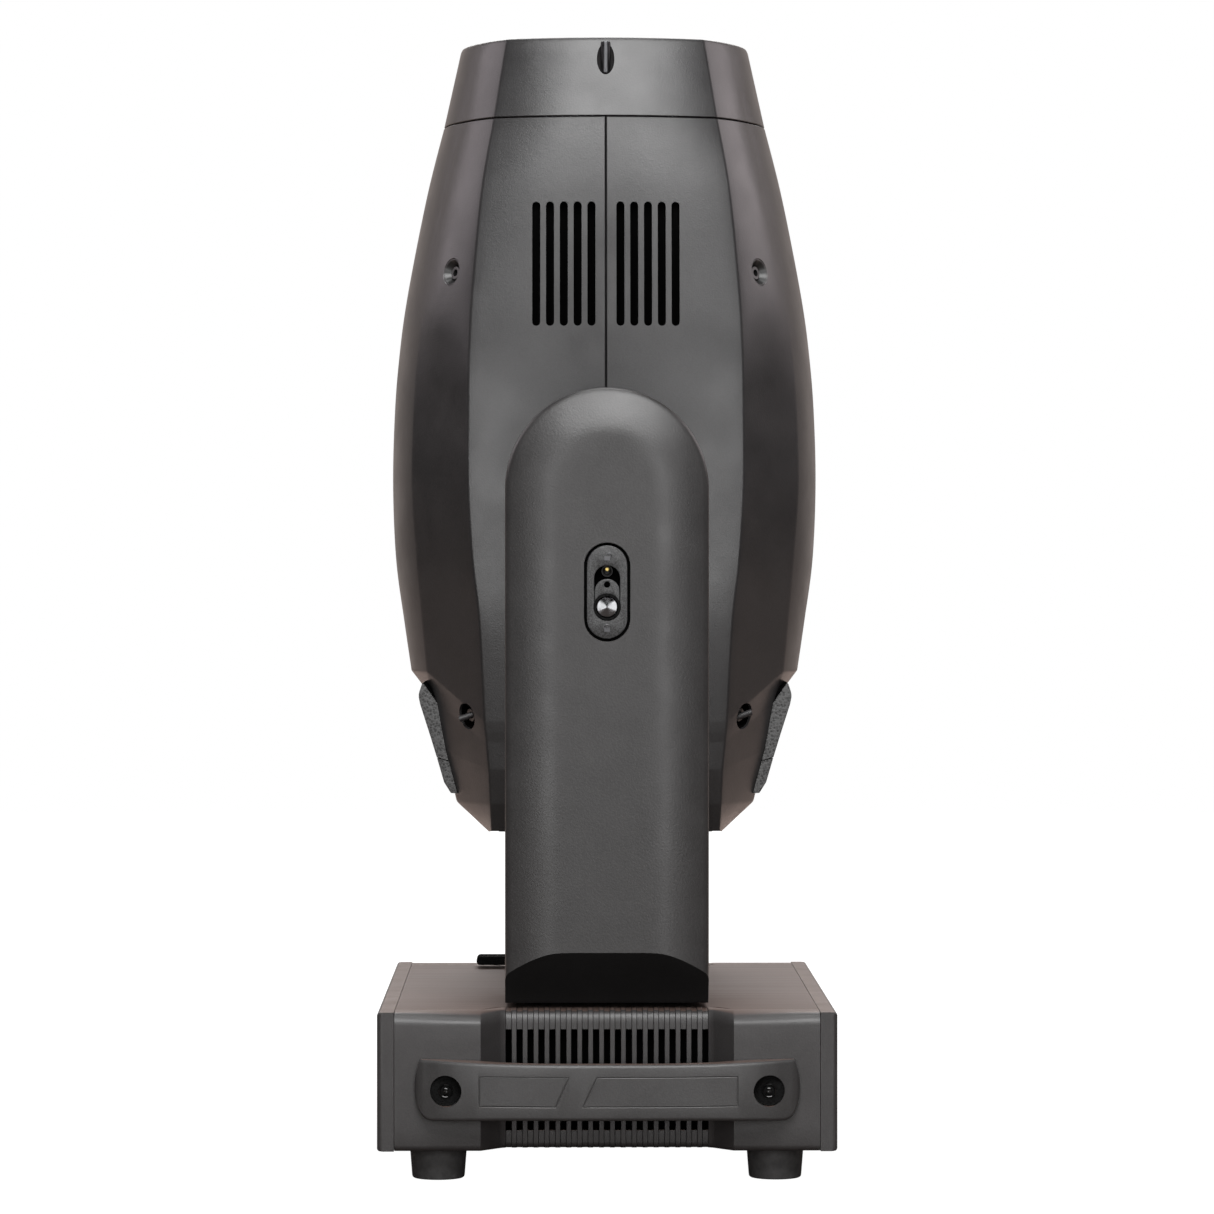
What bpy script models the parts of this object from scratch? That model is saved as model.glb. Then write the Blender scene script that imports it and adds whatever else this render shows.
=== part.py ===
"""A moving head stage light, standing on its feet with the head pointing straight up.

Metres, +Z up. The origin is on the floor under the pan axis. The tilt axis runs along Y through
both yoke arms, the display is on the +X side of the base and the connectors are on the -X side.
"near" pieces are on the -Y side and "far" pieces on the +Y side.

Three groups of pieces move together: the base, the yoke that pans on it, and the head that tilts
in the yoke. Their smaller moving pieces have their own origins, on their own axes.
"""

import math

import bmesh
import bpy
from mathutils import Matrix, Vector

# ---------------------------------------------------------------- driving dimensions
GAP = 0.0003  # clearance between neighbouring pieces
NEAR, FAR = -1, 1  # the two sides along Y

# Base
BASE_HALF_X = 0.130
BASE_HALF_Y = 0.175
FOOT_HEIGHT = 0.018
BASE_TOP_Z = 0.0965
PANEL_THICKNESS = 0.0095  # display and connector panels
COVER_WALL = 0.0025
COVER_TOP_FILLET = 0.008
COVER_BOTTOM_FILLET = 0.006
COVER_FLANGE = 0.019  # how far a side cover reaches over the top
RECESS_DEPTH = 0.015  # hollow behind the handle grip
RECESS_START = 0.0715
RECESS_RAMP = 0.0125
VENT_COUNT = 19
VENT_PITCH = 0.0062
VENT_WIDTH = 0.0034
VENT_LOW_Z, VENT_HIGH_Z = 0.028, 0.0855
TOP_PLATE = 0.002
FOOT_X, FOOT_Y = 0.096, 0.145
FOOT_TOP_RADIUS, FOOT_BOTTOM_RADIUS = 0.0162, 0.0150
BRACKET_HOLE_X, BRACKET_Y = 0.053, 0.100  # quarter-turn fasteners of the two clamp brackets
BRACKET_HOLE_RADIUS = 0.005
HANDLE_Z = 0.0533
BOLT_X = 0.091
BOLT_HEAD_RADIUS = 0.0082

# Yoke
TILT_Z = 0.392
ARM_HALF_X = 0.0579
ARM_FLAT_HALF_X = 0.0305  # flat middle of an arm's outer face
ARM_FACE_Y = 0.167
ARM_EDGE_Y = 0.1585
ARM_CORNER_Y = 0.156
ARM_OPEN_Y = 0.1155  # open side of an arm cover, which faces the head
ARM_BOTTOM_Z = 0.0995
ARM_CHAMFER_Y = 0.147
ARM_CHAMFER_Z = 0.1295
FRAME_Y = 0.119  # inner face of the yoke frame's upright plates
FRAME_PLATE = 0.003
FRAME_HALF_X = 0.048
BRIDGE_TOP_Z = 0.128
PAN_PULLEY_RADIUS = 0.036
PAN_PULLEY_LOW_Z, PAN_PULLEY_HIGH_Z = 0.1115, 0.1205
PAN_MOTOR_Y = 0.1395
PINION_RADIUS = 0.008
BELT_THICKNESS = 0.0015
LOCK_Z = 0.3337  # middle of the tilt lock's oval plate
LOCK_HALF_X, LOCK_HALF_Z = 0.01275, 0.0277
LOCK_SLOT_HALF_X, LOCK_SLOT_HALF_Z = 0.00735, 0.0155

# Head
SHELL_WALL = 0.003
SEAM_HALF_GAP = 0.0003
BEZEL_LOW_Z = 0.6104
SHELL_HIGH_Z = 0.6096
TRUNNION_RADIUS = 0.015
TRUNNION_BORE = 0.010
BEARING_RADIUS = 0.022
TILT_PULLEY_RADIUS = 0.040
TILT_PULLEY_Y = 0.1325  # middle of the tilt belt
TILT_MOTOR_Z = 0.282
CHASSIS_Y = 0.072
LENS_RADIUS = 0.0705
FAN_Z = 0.2000
LENS_SEAT_Z = 0.634
ROD_RADIUS = 0.004
ROD_Y = 0.058
WHEEL_OFFSET_X = 0.042
WHEEL_RADIUS = 0.055

# Outer surface of the head, from the front rim to the rear: for each section, the heights of its
# side panel, its flank edge and its middle (Z), then the panel's crown (Y), the panel's edge (X, Y),
# the flank's edge (X, Y), the half width (X), and how round the flank is, from 0, flat, to 1.
HEAD_SECTIONS = (
    # panel_z  edge_z  side_z  crown_y  panel_x panel_y  edge_x  edge_y  side_x  round
    (0.6570, 0.6570, 0.6570, 0.0770, 0.0575, 0.0660, 0.0741, 0.0432, 0.0855, 1.0),
    (0.6100, 0.6100, 0.6100, 0.0880, 0.0650, 0.0755, 0.0839, 0.0462, 0.0960, 1.0),
    (0.5680, 0.5680, 0.5680, 0.0940, 0.0720, 0.0840, 0.0940, 0.0500, 0.1065, 1.0),
    (0.5080, 0.5080, 0.5080, 0.1000, 0.0775, 0.0920, 0.1053, 0.0536, 0.1182, 1.0),
    (0.4700, 0.4700, 0.4700, 0.1030, 0.0795, 0.0965, 0.1103, 0.0550, 0.1232, 0.4),
    (0.4360, 0.4360, 0.4360, 0.1040, 0.0800, 0.0980, 0.1125, 0.0560, 0.1257, 0.0),
    (0.3950, 0.3950, 0.3950, 0.1045, 0.0800, 0.0985, 0.1134, 0.0563, 0.1266, 0.0),
    (0.3520, 0.3520, 0.3520, 0.1040, 0.0775, 0.0980, 0.1105, 0.0570, 0.1248, 0.0),
    (0.3160, 0.3160, 0.3160, 0.1030, 0.0735, 0.0970, 0.1075, 0.0560, 0.1200, 0.0),
    (0.2580, 0.2860, 0.2860, 0.0980, 0.0705, 0.0915, 0.1049, 0.0550, 0.1156, 0.0),
    (0.2520, 0.2770, 0.2776, 0.0972, 0.0700, 0.0907, 0.1020, 0.0535, 0.1090, 0.0),
    (0.2460, 0.2680, 0.2680, 0.0963, 0.0695, 0.0897, 0.0998, 0.0520, 0.1003, 0.0),
    (0.2300, 0.2400, 0.2400, 0.0940, 0.0680, 0.0880, 0.0947, 0.0520, 0.0952, 0.0),
    (0.2095, 0.2095, 0.2095, 0.0885, 0.0672, 0.0840, 0.0875, 0.0500, 0.0880, 0.0),
    (0.1936, 0.1918, 0.1918, 0.0800, 0.0668, 0.0775, 0.0686, 0.0500, 0.0691, 0.0),
)
HEAD_VENTS = 5  # on each side of the seam, on each side panel
HEAD_VENT_FIRST_X, HEAD_VENT_PITCH, HEAD_VENT_WIDTH = 0.0084, 0.0080, 0.0047
HEAD_VENT_Z, HEAD_VENT_LENGTH = 0.5237, 0.0725

# Grip handle, from its middle to its end: X, half height, inner Y and outer Y.
HANDLE_SECTIONS = (
    (0.000, 0.0158, 0.1885, 0.1970),
    (0.035, 0.0158, 0.1880, 0.1965),
    (0.060, 0.0160, 0.1832, 0.1940),
    (0.075, 0.0164, 0.1765, 0.1915),
    (0.085, 0.0167, 0.1753, 0.1889),
    (0.095, 0.0170, 0.1753, 0.1855),
    (0.104, 0.0172, 0.1753, 0.1815),
    (0.107, 0.0150, 0.1753, 0.1795),
    (0.109, 0.0110, 0.1753, 0.1775),
)

# Air intake pads at the head's rear.
INTAKE_OUTER = (  # the outer face's X and Z, from the bottom up
    (0.0910, 0.2145),
    (0.0930, 0.2180),
    (0.0951, 0.2210),
    (0.0998, 0.2358),
    (0.1040, 0.2488),
    (0.1093, 0.2670),
    (0.1098, 0.2710),
    (0.1098, 0.2735),
)
INTAKE_STATIONS = (  # Y, the top's Z, and the inner face's X and Z from the top down
    (0.0535, 0.2791, ((0.1060, 0.2770), (0.0998, 0.2680), (0.0944, 0.2400), (0.0880, 0.2145))),
    (0.0515, 0.2791, ((0.1060, 0.2782), (0.1008, 0.2680), (0.0955, 0.2400), (0.0895, 0.2145))),
    (0.0265, 0.2770, ((0.1076, 0.2762), (0.1010, 0.2680), (0.0958, 0.2400), (0.0899, 0.2145))),
    (0.0000, 0.2752, ((0.1077, 0.2746), (0.1012, 0.2680), (0.0960, 0.2400), (0.0901, 0.2145))),
)

# ---------------------------------------------------------------- finishes
FINISHES = {
    "housing": ((0.085, 0.083, 0.083), 0.50, 0.0),
    "base_metal": ((0.12, 0.11, 0.105), 0.45, 0.6),
    "black_plastic": ((0.015, 0.015, 0.015), 0.35, 0.0),
    "rubber": ((0.03, 0.03, 0.03), 0.8, 0.0),
    "steel": ((0.55, 0.55, 0.56), 0.3, 1.0),
    "aluminium": ((0.62, 0.63, 0.64), 0.35, 1.0),
    "glass": ((0.85, 0.9, 0.92), 0.05, 0.0),
    "screen": ((0.01, 0.015, 0.03), 0.1, 0.0),
    "intake_foam": ((0.07, 0.07, 0.07), 0.9, 0.0),
    "connector_blue": ((0.02, 0.06, 0.35), 0.4, 0.0),
}


def clear_scene():
    for obj in list(bpy.data.objects):
        bpy.data.objects.remove(obj, do_unlink=True)


def new_collection(name):
    made = bpy.data.collections.new(name)
    bpy.context.scene.collection.children.link(made)
    return made


clear_scene()
PARTS = new_collection("moving_head_light")
CUTTERS = new_collection("cutters")


# ---------------------------------------------------------------- modelling helpers
def finish_material(name):
    """A plain material, which is made once for each finish."""
    made = bpy.data.materials.get(name)
    if made is None:
        colour, roughness, metallic = FINISHES[name]
        made = bpy.data.materials.new(name)
        made.use_nodes = True
        shader = made.node_tree.nodes["Principled BSDF"]
        shader.inputs["Base Color"].default_value = (*colour, 1.0)
        shader.inputs["Roughness"].default_value = roughness
        shader.inputs["Metallic"].default_value = metallic
    return made


def place(name, mesh, finish=None):
    """Puts a mesh in the scene: as a part with this finish or, with none, as a hidden cutter."""
    obj = bpy.data.objects.new(name, mesh)
    if finish is None:
        CUTTERS.objects.link(obj)
        obj.hide_render = True
        obj.display_type = "WIRE"
        return obj
    PARTS.objects.link(obj)
    mesh.materials.append(finish_material(finish))
    mesh.shade_smooth()
    mesh.set_sharp_from_angle(angle=math.radians(30))
    return obj


def mesh_of(bm, name, closed=True):
    """Ends a bmesh as a mesh. A closed one gets its faces turned outwards."""
    if closed:
        bmesh.ops.recalc_face_normals(bm, faces=bm.faces)
    mesh = bpy.data.meshes.new(name)
    bm.to_mesh(mesh)
    bm.free()
    return mesh


def box(name, low, high, finish=None):
    bm = bmesh.new()
    bmesh.ops.create_cube(bm, size=1.0)
    low, high = Vector(low), Vector(high)
    bmesh.ops.scale(bm, vec=high - low, verts=bm.verts)
    bmesh.ops.translate(bm, vec=(low + high) / 2, verts=bm.verts)
    return place(name, mesh_of(bm, name), finish)


def cylinder(name, radius, start, end, finish=None, segments=20):
    """A cylinder from one point to another."""
    start, end = Vector(start), Vector(end)
    axis = end - start
    turn = axis.to_track_quat("Z", "Y").to_matrix().to_4x4()
    bm = bmesh.new()
    bmesh.ops.create_cone(
        bm,
        cap_ends=True,
        segments=segments,
        radius1=radius,
        radius2=radius,
        depth=axis.length,
        matrix=Matrix.Translation((start + end) / 2) @ turn,
    )
    return place(name, mesh_of(bm, name), finish)


def several(name, makers, finish=None):
    """One object holding the meshes of several, such as a row of cutters."""
    bm = bmesh.new()
    for obj in makers:
        bm.from_mesh(obj.data)
        bpy.data.objects.remove(obj)
    return place(name, mesh_of(bm, name), finish)


def turned(name, profile, at, axis="Z", finish=None, steps=24, ring=False):
    """A turned piece. The profile's points are (radius, height), down its outer side from the top.
    A ring's profile is a closed loop. The height runs along the axis, from the point at."""
    bm = bmesh.new()
    verts = [bm.verts.new((radius, 0.0, height)) for radius, height in profile]
    for a, b in zip(verts, verts[1:]):
        bm.edges.new((a, b))
    if ring:
        bm.edges.new((verts[-1], verts[0]))
    obj = place(name, mesh_of(bm, name, closed=False), finish)
    screw = obj.modifiers.new("turn", "SCREW")
    screw.steps = steps
    screw.render_steps = steps
    screw.use_merge_vertices = True
    screw.merge_threshold = 0.00001
    obj.location = at
    turns = {"Z": (0, 0, 0), "X": (0, math.pi / 2, 0), "-X": (0, -math.pi / 2, 0)}
    turns.update({"Y": (-math.pi / 2, 0, 0), "-Y": (math.pi / 2, 0, 0)})
    obj.rotation_euler = turns[axis]
    return obj


def plate(name, outline, low, high, plane="XY", holes=(), finish=None):
    """A flat outline with holes, extruded from low to high along the axis that its plane lacks."""
    curve = bpy.data.curves.new(name, "CURVE")
    curve.dimensions = "2D"
    curve.fill_mode = "BOTH"
    curve.extrude = (high - low) / 2
    for points in (outline, *holes):
        spline = curve.splines.new("POLY")
        spline.points.add(len(points) - 1)
        for point, (u, v) in zip(spline.points, points):
            point.co = (u, v, 0.0, 1.0)
        spline.use_cyclic_u = True
    shape = bpy.data.objects.new(name + "_outline", curve)
    CUTTERS.objects.link(shape)
    middle = (low + high) / 2
    columns = {
        "XY": ((1, 0, 0), (0, 1, 0), (0, 0, 1)),
        "XZ": ((1, 0, 0), (0, 0, 1), (0, -1, 0)),
        "YZ": ((0, 1, 0), (0, 0, 1), (1, 0, 0)),
    }[plane]
    shift = {"XY": (0, 0, middle), "XZ": (0, middle, 0), "YZ": (middle, 0, 0)}[plane]
    turn = Matrix(columns).transposed().to_4x4()
    shape.matrix_world = Matrix.Translation(shift) @ turn
    bpy.context.view_layer.update()
    evaluated = shape.evaluated_get(bpy.context.evaluated_depsgraph_get())
    mesh = bpy.data.meshes.new_from_object(evaluated)
    bm = bmesh.new()
    bm.from_mesh(mesh)
    bmesh.ops.remove_doubles(bm, verts=bm.verts, dist=0.00001)
    bmesh.ops.transform(bm, matrix=shape.matrix_world, verts=bm.verts)
    bpy.data.meshes.remove(mesh)
    bpy.data.objects.remove(shape)
    return place(name, mesh_of(bm, name), finish)


def join(target, *others):
    """Boolean union, which takes the other objects as hidden helpers."""
    for other in others:
        change(target, other, "UNION")
    return target


def cut(target, *others):
    for other in others:
        change(target, other, "DIFFERENCE")
    return target


def change(target, other, operation):
    modifier = target.modifiers.new(operation.lower(), "BOOLEAN")
    modifier.operation = operation
    modifier.solver = "EXACT"
    modifier.object = other


def solidify(obj, thickness):
    modifier = obj.modifiers.new("wall", "SOLIDIFY")
    modifier.thickness = thickness
    modifier.offset = -1
    modifier.use_even_offset = True
    return obj


def turn_outwards(bm, inside):
    """Makes the faces of an open surface agree, pointing away from a point behind it."""
    bmesh.ops.recalc_face_normals(bm, faces=bm.faces)
    bm.normal_update()
    inside = Vector(inside)
    facing = sum(
        (f.calc_center_median() - inside).dot(f.normal) * f.calc_area() for f in bm.faces
    )
    if facing < 0:
        bmesh.ops.reverse_faces(bm, faces=bm.faces)


def skin(bm, rows, closed=False):
    """Joins rows of points with quads and returns the rows of vertices."""
    rows = [[bm.verts.new(point) for point in row] for row in rows]
    count = len(rows[0])
    for upper, lower in zip(rows, rows[1:]):
        for k in range(count if closed else count - 1):
            after = (k + 1) % count
            bm.faces.new((upper[k], upper[after], lower[after], lower[k]))
    return rows


def loft(name, rings, finish=None):
    """A closed solid through closed rings of points, with flat ends."""
    bm = bmesh.new()
    rows = skin(bm, rings, closed=True)
    bm.faces.new(rows[0])
    bm.faces.new(rows[-1])
    return place(name, mesh_of(bm, name), finish)


def move_origin(obj, point):
    """Gives an object that was modelled in place its origin on its own axis."""
    obj.data.transform(Matrix.Translation(-Vector(point)))
    obj.location = point
    return obj


def circle(radius, centre=(0.0, 0.0), steps=24):
    angles = [2 * math.pi * k / steps for k in range(steps)]
    return [
        (centre[0] + radius * math.cos(a), centre[1] + radius * math.sin(a)) for a in angles
    ]


def stadium(half_u, half_v, centre=(0.0, 0.0), steps=6):
    """An upright oval: straight sides with a half circle at each end."""
    reach = half_v - half_u
    points = []
    for end, first in ((1, 0.0), (-1, math.pi)):
        for k in range(steps + 1):
            a = first + math.pi * k / steps
            points.append(
                (centre[0] + half_u * math.cos(a), centre[1] + end * reach + half_u * math.sin(a))
            )
    return points


def rectangle(half_u, half_v, centre=(0.0, 0.0)):
    u, v = centre
    return [
        (u - half_u, v - half_v),
        (u + half_u, v - half_v),
        (u + half_u, v + half_v),
        (u - half_u, v + half_v),
    ]


def belt_loop(big, small, distance, steps=10):
    """The outline of a belt round a big pulley at the origin and a small one along +V. Its sides
    touch the circles from outside, so that it clears round pulleys."""
    lean = math.asin((big - small) / distance)
    points = []
    for radius, v, first, last in (
        (small, distance, lean, math.pi - lean),
        (big, 0.0, math.pi - lean, 2 * math.pi + lean),
    ):
        reach = radius / math.cos((last - first) / steps / 2)
        for k in range(steps + 1):
            a = first + (last - first) * k / steps
            points.append((reach * math.cos(a), v + reach * math.sin(a)))
    return points


# ---------------------------------------------------------------- base
def recess(x):
    """How far the middle of a side cover stands back at this X."""
    t = min(max((RECESS_START - abs(x)) / RECESS_RAMP, 0.0), 1.0)
    return RECESS_DEPTH * (1 - (1 - t) ** 2)


def cover_stations():
    """X positions across a side cover, closer together where its hollow begins."""
    ramp = [RECESS_START - RECESS_RAMP * k / 5 for k in range(6)]
    half = [BASE_HALF_X - PANEL_THICKNESS - GAP, *ramp, 0.020]
    return [-x for x in half] + [0.0] + half[::-1]


def cover_profile():
    """A side cover's section, from its bottom edge up and over: inward distance, Z."""
    points = []
    for k in range(3):
        a = math.pi / 2 * k / 2
        reach = COVER_BOTTOM_FILLET * (1 - math.sin(a))
        points.append((reach, FOOT_HEIGHT + COVER_BOTTOM_FILLET * (1 - math.cos(a))))
    for k in range(4):
        a = math.pi / 2 * k / 3
        reach = COVER_TOP_FILLET * (1 - math.cos(a))
        points.append((reach, BASE_TOP_Z - COVER_TOP_FILLET * (1 - math.sin(a))))
    points.append((COVER_FLANGE, BASE_TOP_Z))
    return points


def side_cover(name, side):
    bm = bmesh.new()
    rows = [
        [(x, side * (BASE_HALF_Y - inward - recess(x)), z) for x in cover_stations()]
        for inward, z in cover_profile()
    ]
    skin(bm, rows)
    turn_outwards(bm, (0, side * 0.10, 0.03))
    cover = place(name, mesh_of(bm, name, closed=False), "housing")
    solidify(cover, COVER_WALL)
    slots = []
    for k in range(VENT_COUNT):
        x = (k - (VENT_COUNT - 1) / 2) * VENT_PITCH
        ends = sorted((side * 0.140, side * 0.185))
        slots.append(
            box(
                "slot",
                (x - VENT_WIDTH / 2, ends[0], VENT_LOW_Z),
                (x + VENT_WIDTH / 2, ends[1], VENT_HIGH_Z),
            )
        )
    cut(cover, several(name + "_slots", slots))
    for x in (-BOLT_X, BOLT_X):
        ends = ((x, side * 0.165, HANDLE_Z), (x, side * 0.180, HANDLE_Z))
        cut(cover, cylinder(name + "_bolt_hole", 0.0045, *ends, segments=12))
    return cover


def base_top():
    edge = [(x, BASE_HALF_Y - COVER_FLANGE - GAP - recess(x)) for x in cover_stations()]
    outline = [(x, -y) for x, y in edge] + edge[::-1]
    return plate(
        "base_top",
        outline,
        BASE_TOP_Z - TOP_PLATE,
        BASE_TOP_Z,
        holes=[circle(0.026)],
        finish="base_metal",
    )


def base_tray():
    """An open pan of folded sheet steel, which holds the electronics and the feet."""
    bm = bmesh.new()
    bmesh.ops.create_cube(bm, size=1.0)
    top = [f for f in bm.faces if f.normal.z > 0.5]
    bmesh.ops.delete(bm, geom=top, context="FACES")
    size = Vector((2 * (BASE_HALF_X - PANEL_THICKNESS - 2 * GAP), 0.300, 0.024))
    bmesh.ops.scale(bm, vec=size, verts=bm.verts)
    bmesh.ops.translate(bm, vec=(0, 0, FOOT_HEIGHT + size.z / 2), verts=bm.verts)
    tray = place("base_tray", mesh_of(bm, "base_tray", closed=False), "base_metal")
    solidify(tray, 0.0015)
    holes = []
    for x in (-BRACKET_HOLE_X, BRACKET_HOLE_X):
        for y in (-BRACKET_Y, BRACKET_Y):
            ends = ((x, y, FOOT_HEIGHT - 0.005), (x, y, FOOT_HEIGHT + 0.006))
            holes.append(cylinder("hole", BRACKET_HOLE_RADIUS, *ends, segments=12))
    cut(tray, several("bracket_holes", holes))


def panel_outline():
    """The section of a display or connector panel, with a rounded outer top edge: X, Z."""
    inner = BASE_HALF_X - PANEL_THICKNESS
    radius = 0.0045
    points = [(inner, FOOT_HEIGHT), (BASE_HALF_X - 0.0015, FOOT_HEIGHT)]
    points.append((BASE_HALF_X, FOOT_HEIGHT + 0.0015))
    for k in range(4):
        a = math.pi / 2 * k / 3
        points.append(
            (
                BASE_HALF_X - radius * (1 - math.cos(a)),
                BASE_TOP_Z - radius * (1 - math.sin(a)),
            )
        )
    points.append((inner, BASE_TOP_Z))
    return points


CONTROL_FACE_X = 0.1280  # floor of the sunk control field on the display panel
DISPLAY_Y, DISPLAY_Z = -0.045, 0.057
DISPLAY_HALF_Y, DISPLAY_HALF_Z = 0.034, 0.019
ENCODER_Y = 0.030
ENCODER_RADIUS = 0.0095
BUTTONS = {"button_menu": (0.060, 0.069), "button_enter": (0.060, 0.048)}  # Y, Z
BUTTON_RADIUS = 0.005
CONNECTORS = {"power_inlet": -0.100, "dmx_in": 0.040, "dmx_out": 0.090}  # Y on the -X panel
CONNECTOR_Z = 0.057
CONNECTOR_RADIUS = 0.0125


def display_panel():
    inner = BASE_HALF_X - PANEL_THICKNESS
    panel = plate(
        "display_panel",
        panel_outline(),
        -BASE_HALF_Y,
        BASE_HALF_Y,
        plane="XZ",
        finish="housing",
    )
    cut(panel, box("control_field", (CONTROL_FACE_X, -0.090, 0.030), (0.140, 0.085, 0.084)))
    window = (DISPLAY_HALF_Y + GAP, DISPLAY_HALF_Z + GAP)
    cut(
        panel,
        box(
            "display_pocket",
            (0.1255, DISPLAY_Y - window[0], DISPLAY_Z - window[1]),
            (0.140, DISPLAY_Y + window[0], DISPLAY_Z + window[1]),
        ),
    )
    for y, z in BUTTONS.values():
        hole = ((inner - 0.002, y, z), (0.140, y, z))
        cut(panel, cylinder("button_hole", BUTTON_RADIUS + GAP, *hole, segments=16))
    hole = ((inner - 0.002, ENCODER_Y, DISPLAY_Z), (0.140, ENCODER_Y, DISPLAY_Z))
    cut(panel, cylinder("encoder_hole", ENCODER_RADIUS + GAP, *hole))
    box(
        "display_window",
        (0.1258, DISPLAY_Y - DISPLAY_HALF_Y, DISPLAY_Z - DISPLAY_HALF_Z),
        (0.1283, DISPLAY_Y + DISPLAY_HALF_Y, DISPLAY_Z + DISPLAY_HALF_Z),
        "screen",
    )
    for name, (y, z) in BUTTONS.items():
        profile = [(0, 0.0085), (0.0040, 0.0085), (BUTTON_RADIUS, 0.0076)]
        profile += [(BUTTON_RADIUS, 0.0), (0, 0)]
        turned(name, profile, (0.1212, y, z), axis="X", finish="black_plastic", steps=16)
    knob = [(0, 0.0085), (0.0080, 0.0085), (ENCODER_RADIUS, 0.0074), (ENCODER_RADIUS, 0), (0, 0)]
    at = (0.1212, ENCODER_Y, DISPLAY_Z)
    turned("encoder_knob", knob, at, axis="X", finish="black_plastic", steps=20)


def connector(name, y, finish):
    """A round chassis socket: a cup that is open outwards, with a flange let into the panel."""
    bore = 0.0100 if name == "power_inlet" else 0.0088
    profile = [(CONNECTOR_RADIUS, 0.0090), (CONNECTOR_RADIUS, 0.0065), (0.0115, 0.0065)]
    profile += [(0.0115, -0.010), (0, -0.010)]
    inside = [(0, -0.006), (bore, -0.006), (bore, 0.0090)]
    at = (-BASE_HALF_X + 0.0095, y, CONNECTOR_Z)
    turned(name, inside + profile, at, axis="-X", finish=finish)


def connector_panel():
    outline = [(-x, z) for x, z in panel_outline()]
    panel = plate(
        "connector_panel",
        outline[::-1],
        -BASE_HALF_Y,
        BASE_HALF_Y,
        plane="XZ",
        finish="housing",
    )
    for y in CONNECTORS.values():
        through = ((-0.140, y, CONNECTOR_Z), (-0.118, y, CONNECTOR_Z))
        cut(panel, cylinder("socket_hole", 0.0115 + GAP, *through))
        seat = ((-0.140, y, CONNECTOR_Z), (-0.1267, y, CONNECTOR_Z))
        cut(panel, cylinder("flange_seat", CONNECTOR_RADIUS + GAP, *seat))
    for name, y in CONNECTORS.items():
        connector(name, y, "connector_blue" if name == "power_inlet" else "steel")


def handle_ring(x, half_height, inner, outer, side):
    """A handle's section at this X: a rectangle with its outer corners taken off."""
    corner = min(0.0030, (outer - inner) * 0.45)
    low, high = HANDLE_Z - half_height, HANDLE_Z + half_height
    section = [
        (inner, low),
        (inner, high),
        (outer - corner, high),
        (outer - 0.3 * corner, high - 0.3 * corner),
        (outer, high - corner),
        (outer, low + corner),
        (outer - 0.3 * corner, low + 0.3 * corner),
        (outer - corner, low),
    ]
    return [(x, side * y, z) for y, z in section]


def handle(name, side):
    left = [(-x, *rest) for x, *rest in HANDLE_SECTIONS[:0:-1]]
    rings = [handle_ring(*section, side) for section in (*left, *HANDLE_SECTIONS)]
    grip = loft(name, rings, "housing")
    for x in (-BOLT_X, BOLT_X):
        well = ((x, side * 0.1780, HANDLE_Z), (x, side * 0.200, HANDLE_Z))
        cut(grip, cylinder(name + "_well", BOLT_HEAD_RADIUS + GAP, *well))
        hole = ((x, side * 0.170, HANDLE_Z), (x, side * 0.185, HANDLE_Z))
        cut(grip, cylinder(name + "_hole", 0.0045, *hole, segments=12))


def handle_bolt(name, x, side):
    """A button-head screw: a domed head with a shallow socket, on a short shank."""
    head = BOLT_HEAD_RADIUS
    profile = [(0, 0.0030), (0.0030, 0.0030), (0.0032, 0.0050), (0.0060, 0.0045)]
    profile += [(head, 0.0024), (head, 0), (0.0040, 0), (0.0040, -0.012), (0, -0.012)]
    axis = "Y" if side > 0 else "-Y"
    turned(name, profile, (x, side * 0.1783, HANDLE_Z), axis=axis, finish="black_plastic", steps=14)


def foot(name, x, y):
    top = FOOT_HEIGHT - GAP
    profile = [(0, top), (FOOT_TOP_RADIUS, top), (FOOT_BOTTOM_RADIUS, 0.0015)]
    profile += [(FOOT_BOTTOM_RADIUS - 0.0015, 0), (0, 0)]
    turned(name, profile, (x, y, 0), finish="rubber")


def pan_shaft():
    """The hollow shaft that the yoke pans on, with its fixed belt pulley on top."""
    low, high = PAN_PULLEY_LOW_Z, PAN_PULLEY_HIGH_Z
    profile = [
        (0.014, high),
        (PAN_PULLEY_RADIUS, high),
        (PAN_PULLEY_RADIUS, low),
        (0.020, low),
        (0.020, 0.0942),
        (0.045, 0.0942),
        (0.045, 0.0900),
        (0.014, 0.0900),
    ]
    turned("pan_shaft", profile, (0, 0, 0), finish="aluminium", steps=32, ring=True)


def build_base():
    base_tray()
    base_top()
    display_panel()
    connector_panel()
    for word, side in (("near", NEAR), ("far", FAR)):
        side_cover(f"side_cover_{word}", side)
        handle(f"handle_{word}", side)
        for hand, x in (("left", -BOLT_X), ("right", BOLT_X)):
            handle_bolt(f"handle_bolt_{word}_{hand}", x, side)
            foot(f"foot_{word}_{hand}", math.copysign(FOOT_X, x), side * FOOT_Y)
    pan_shaft()
    box("power_supply", (-0.085, 0.060, 0.022), (0.085, 0.140, 0.066), "aluminium")


# ---------------------------------------------------------------- yoke
def arm_profile():
    """An arm cover's section from the edge of its flat face to its open rim: X, Y."""
    points = []
    for k in range(4):
        u = k / 3
        x = ARM_FLAT_HALF_X + (ARM_HALF_X - 0.0015 - ARM_FLAT_HALF_X) * u
        points.append((x, ARM_FACE_Y - (ARM_FACE_Y - ARM_EDGE_Y) * u**1.5))
    points.append((ARM_HALF_X, ARM_CORNER_Y))
    points.append((ARM_HALF_X, ARM_CHAMFER_Y))
    points.append((ARM_HALF_X, ARM_OPEN_Y))
    return points


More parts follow.
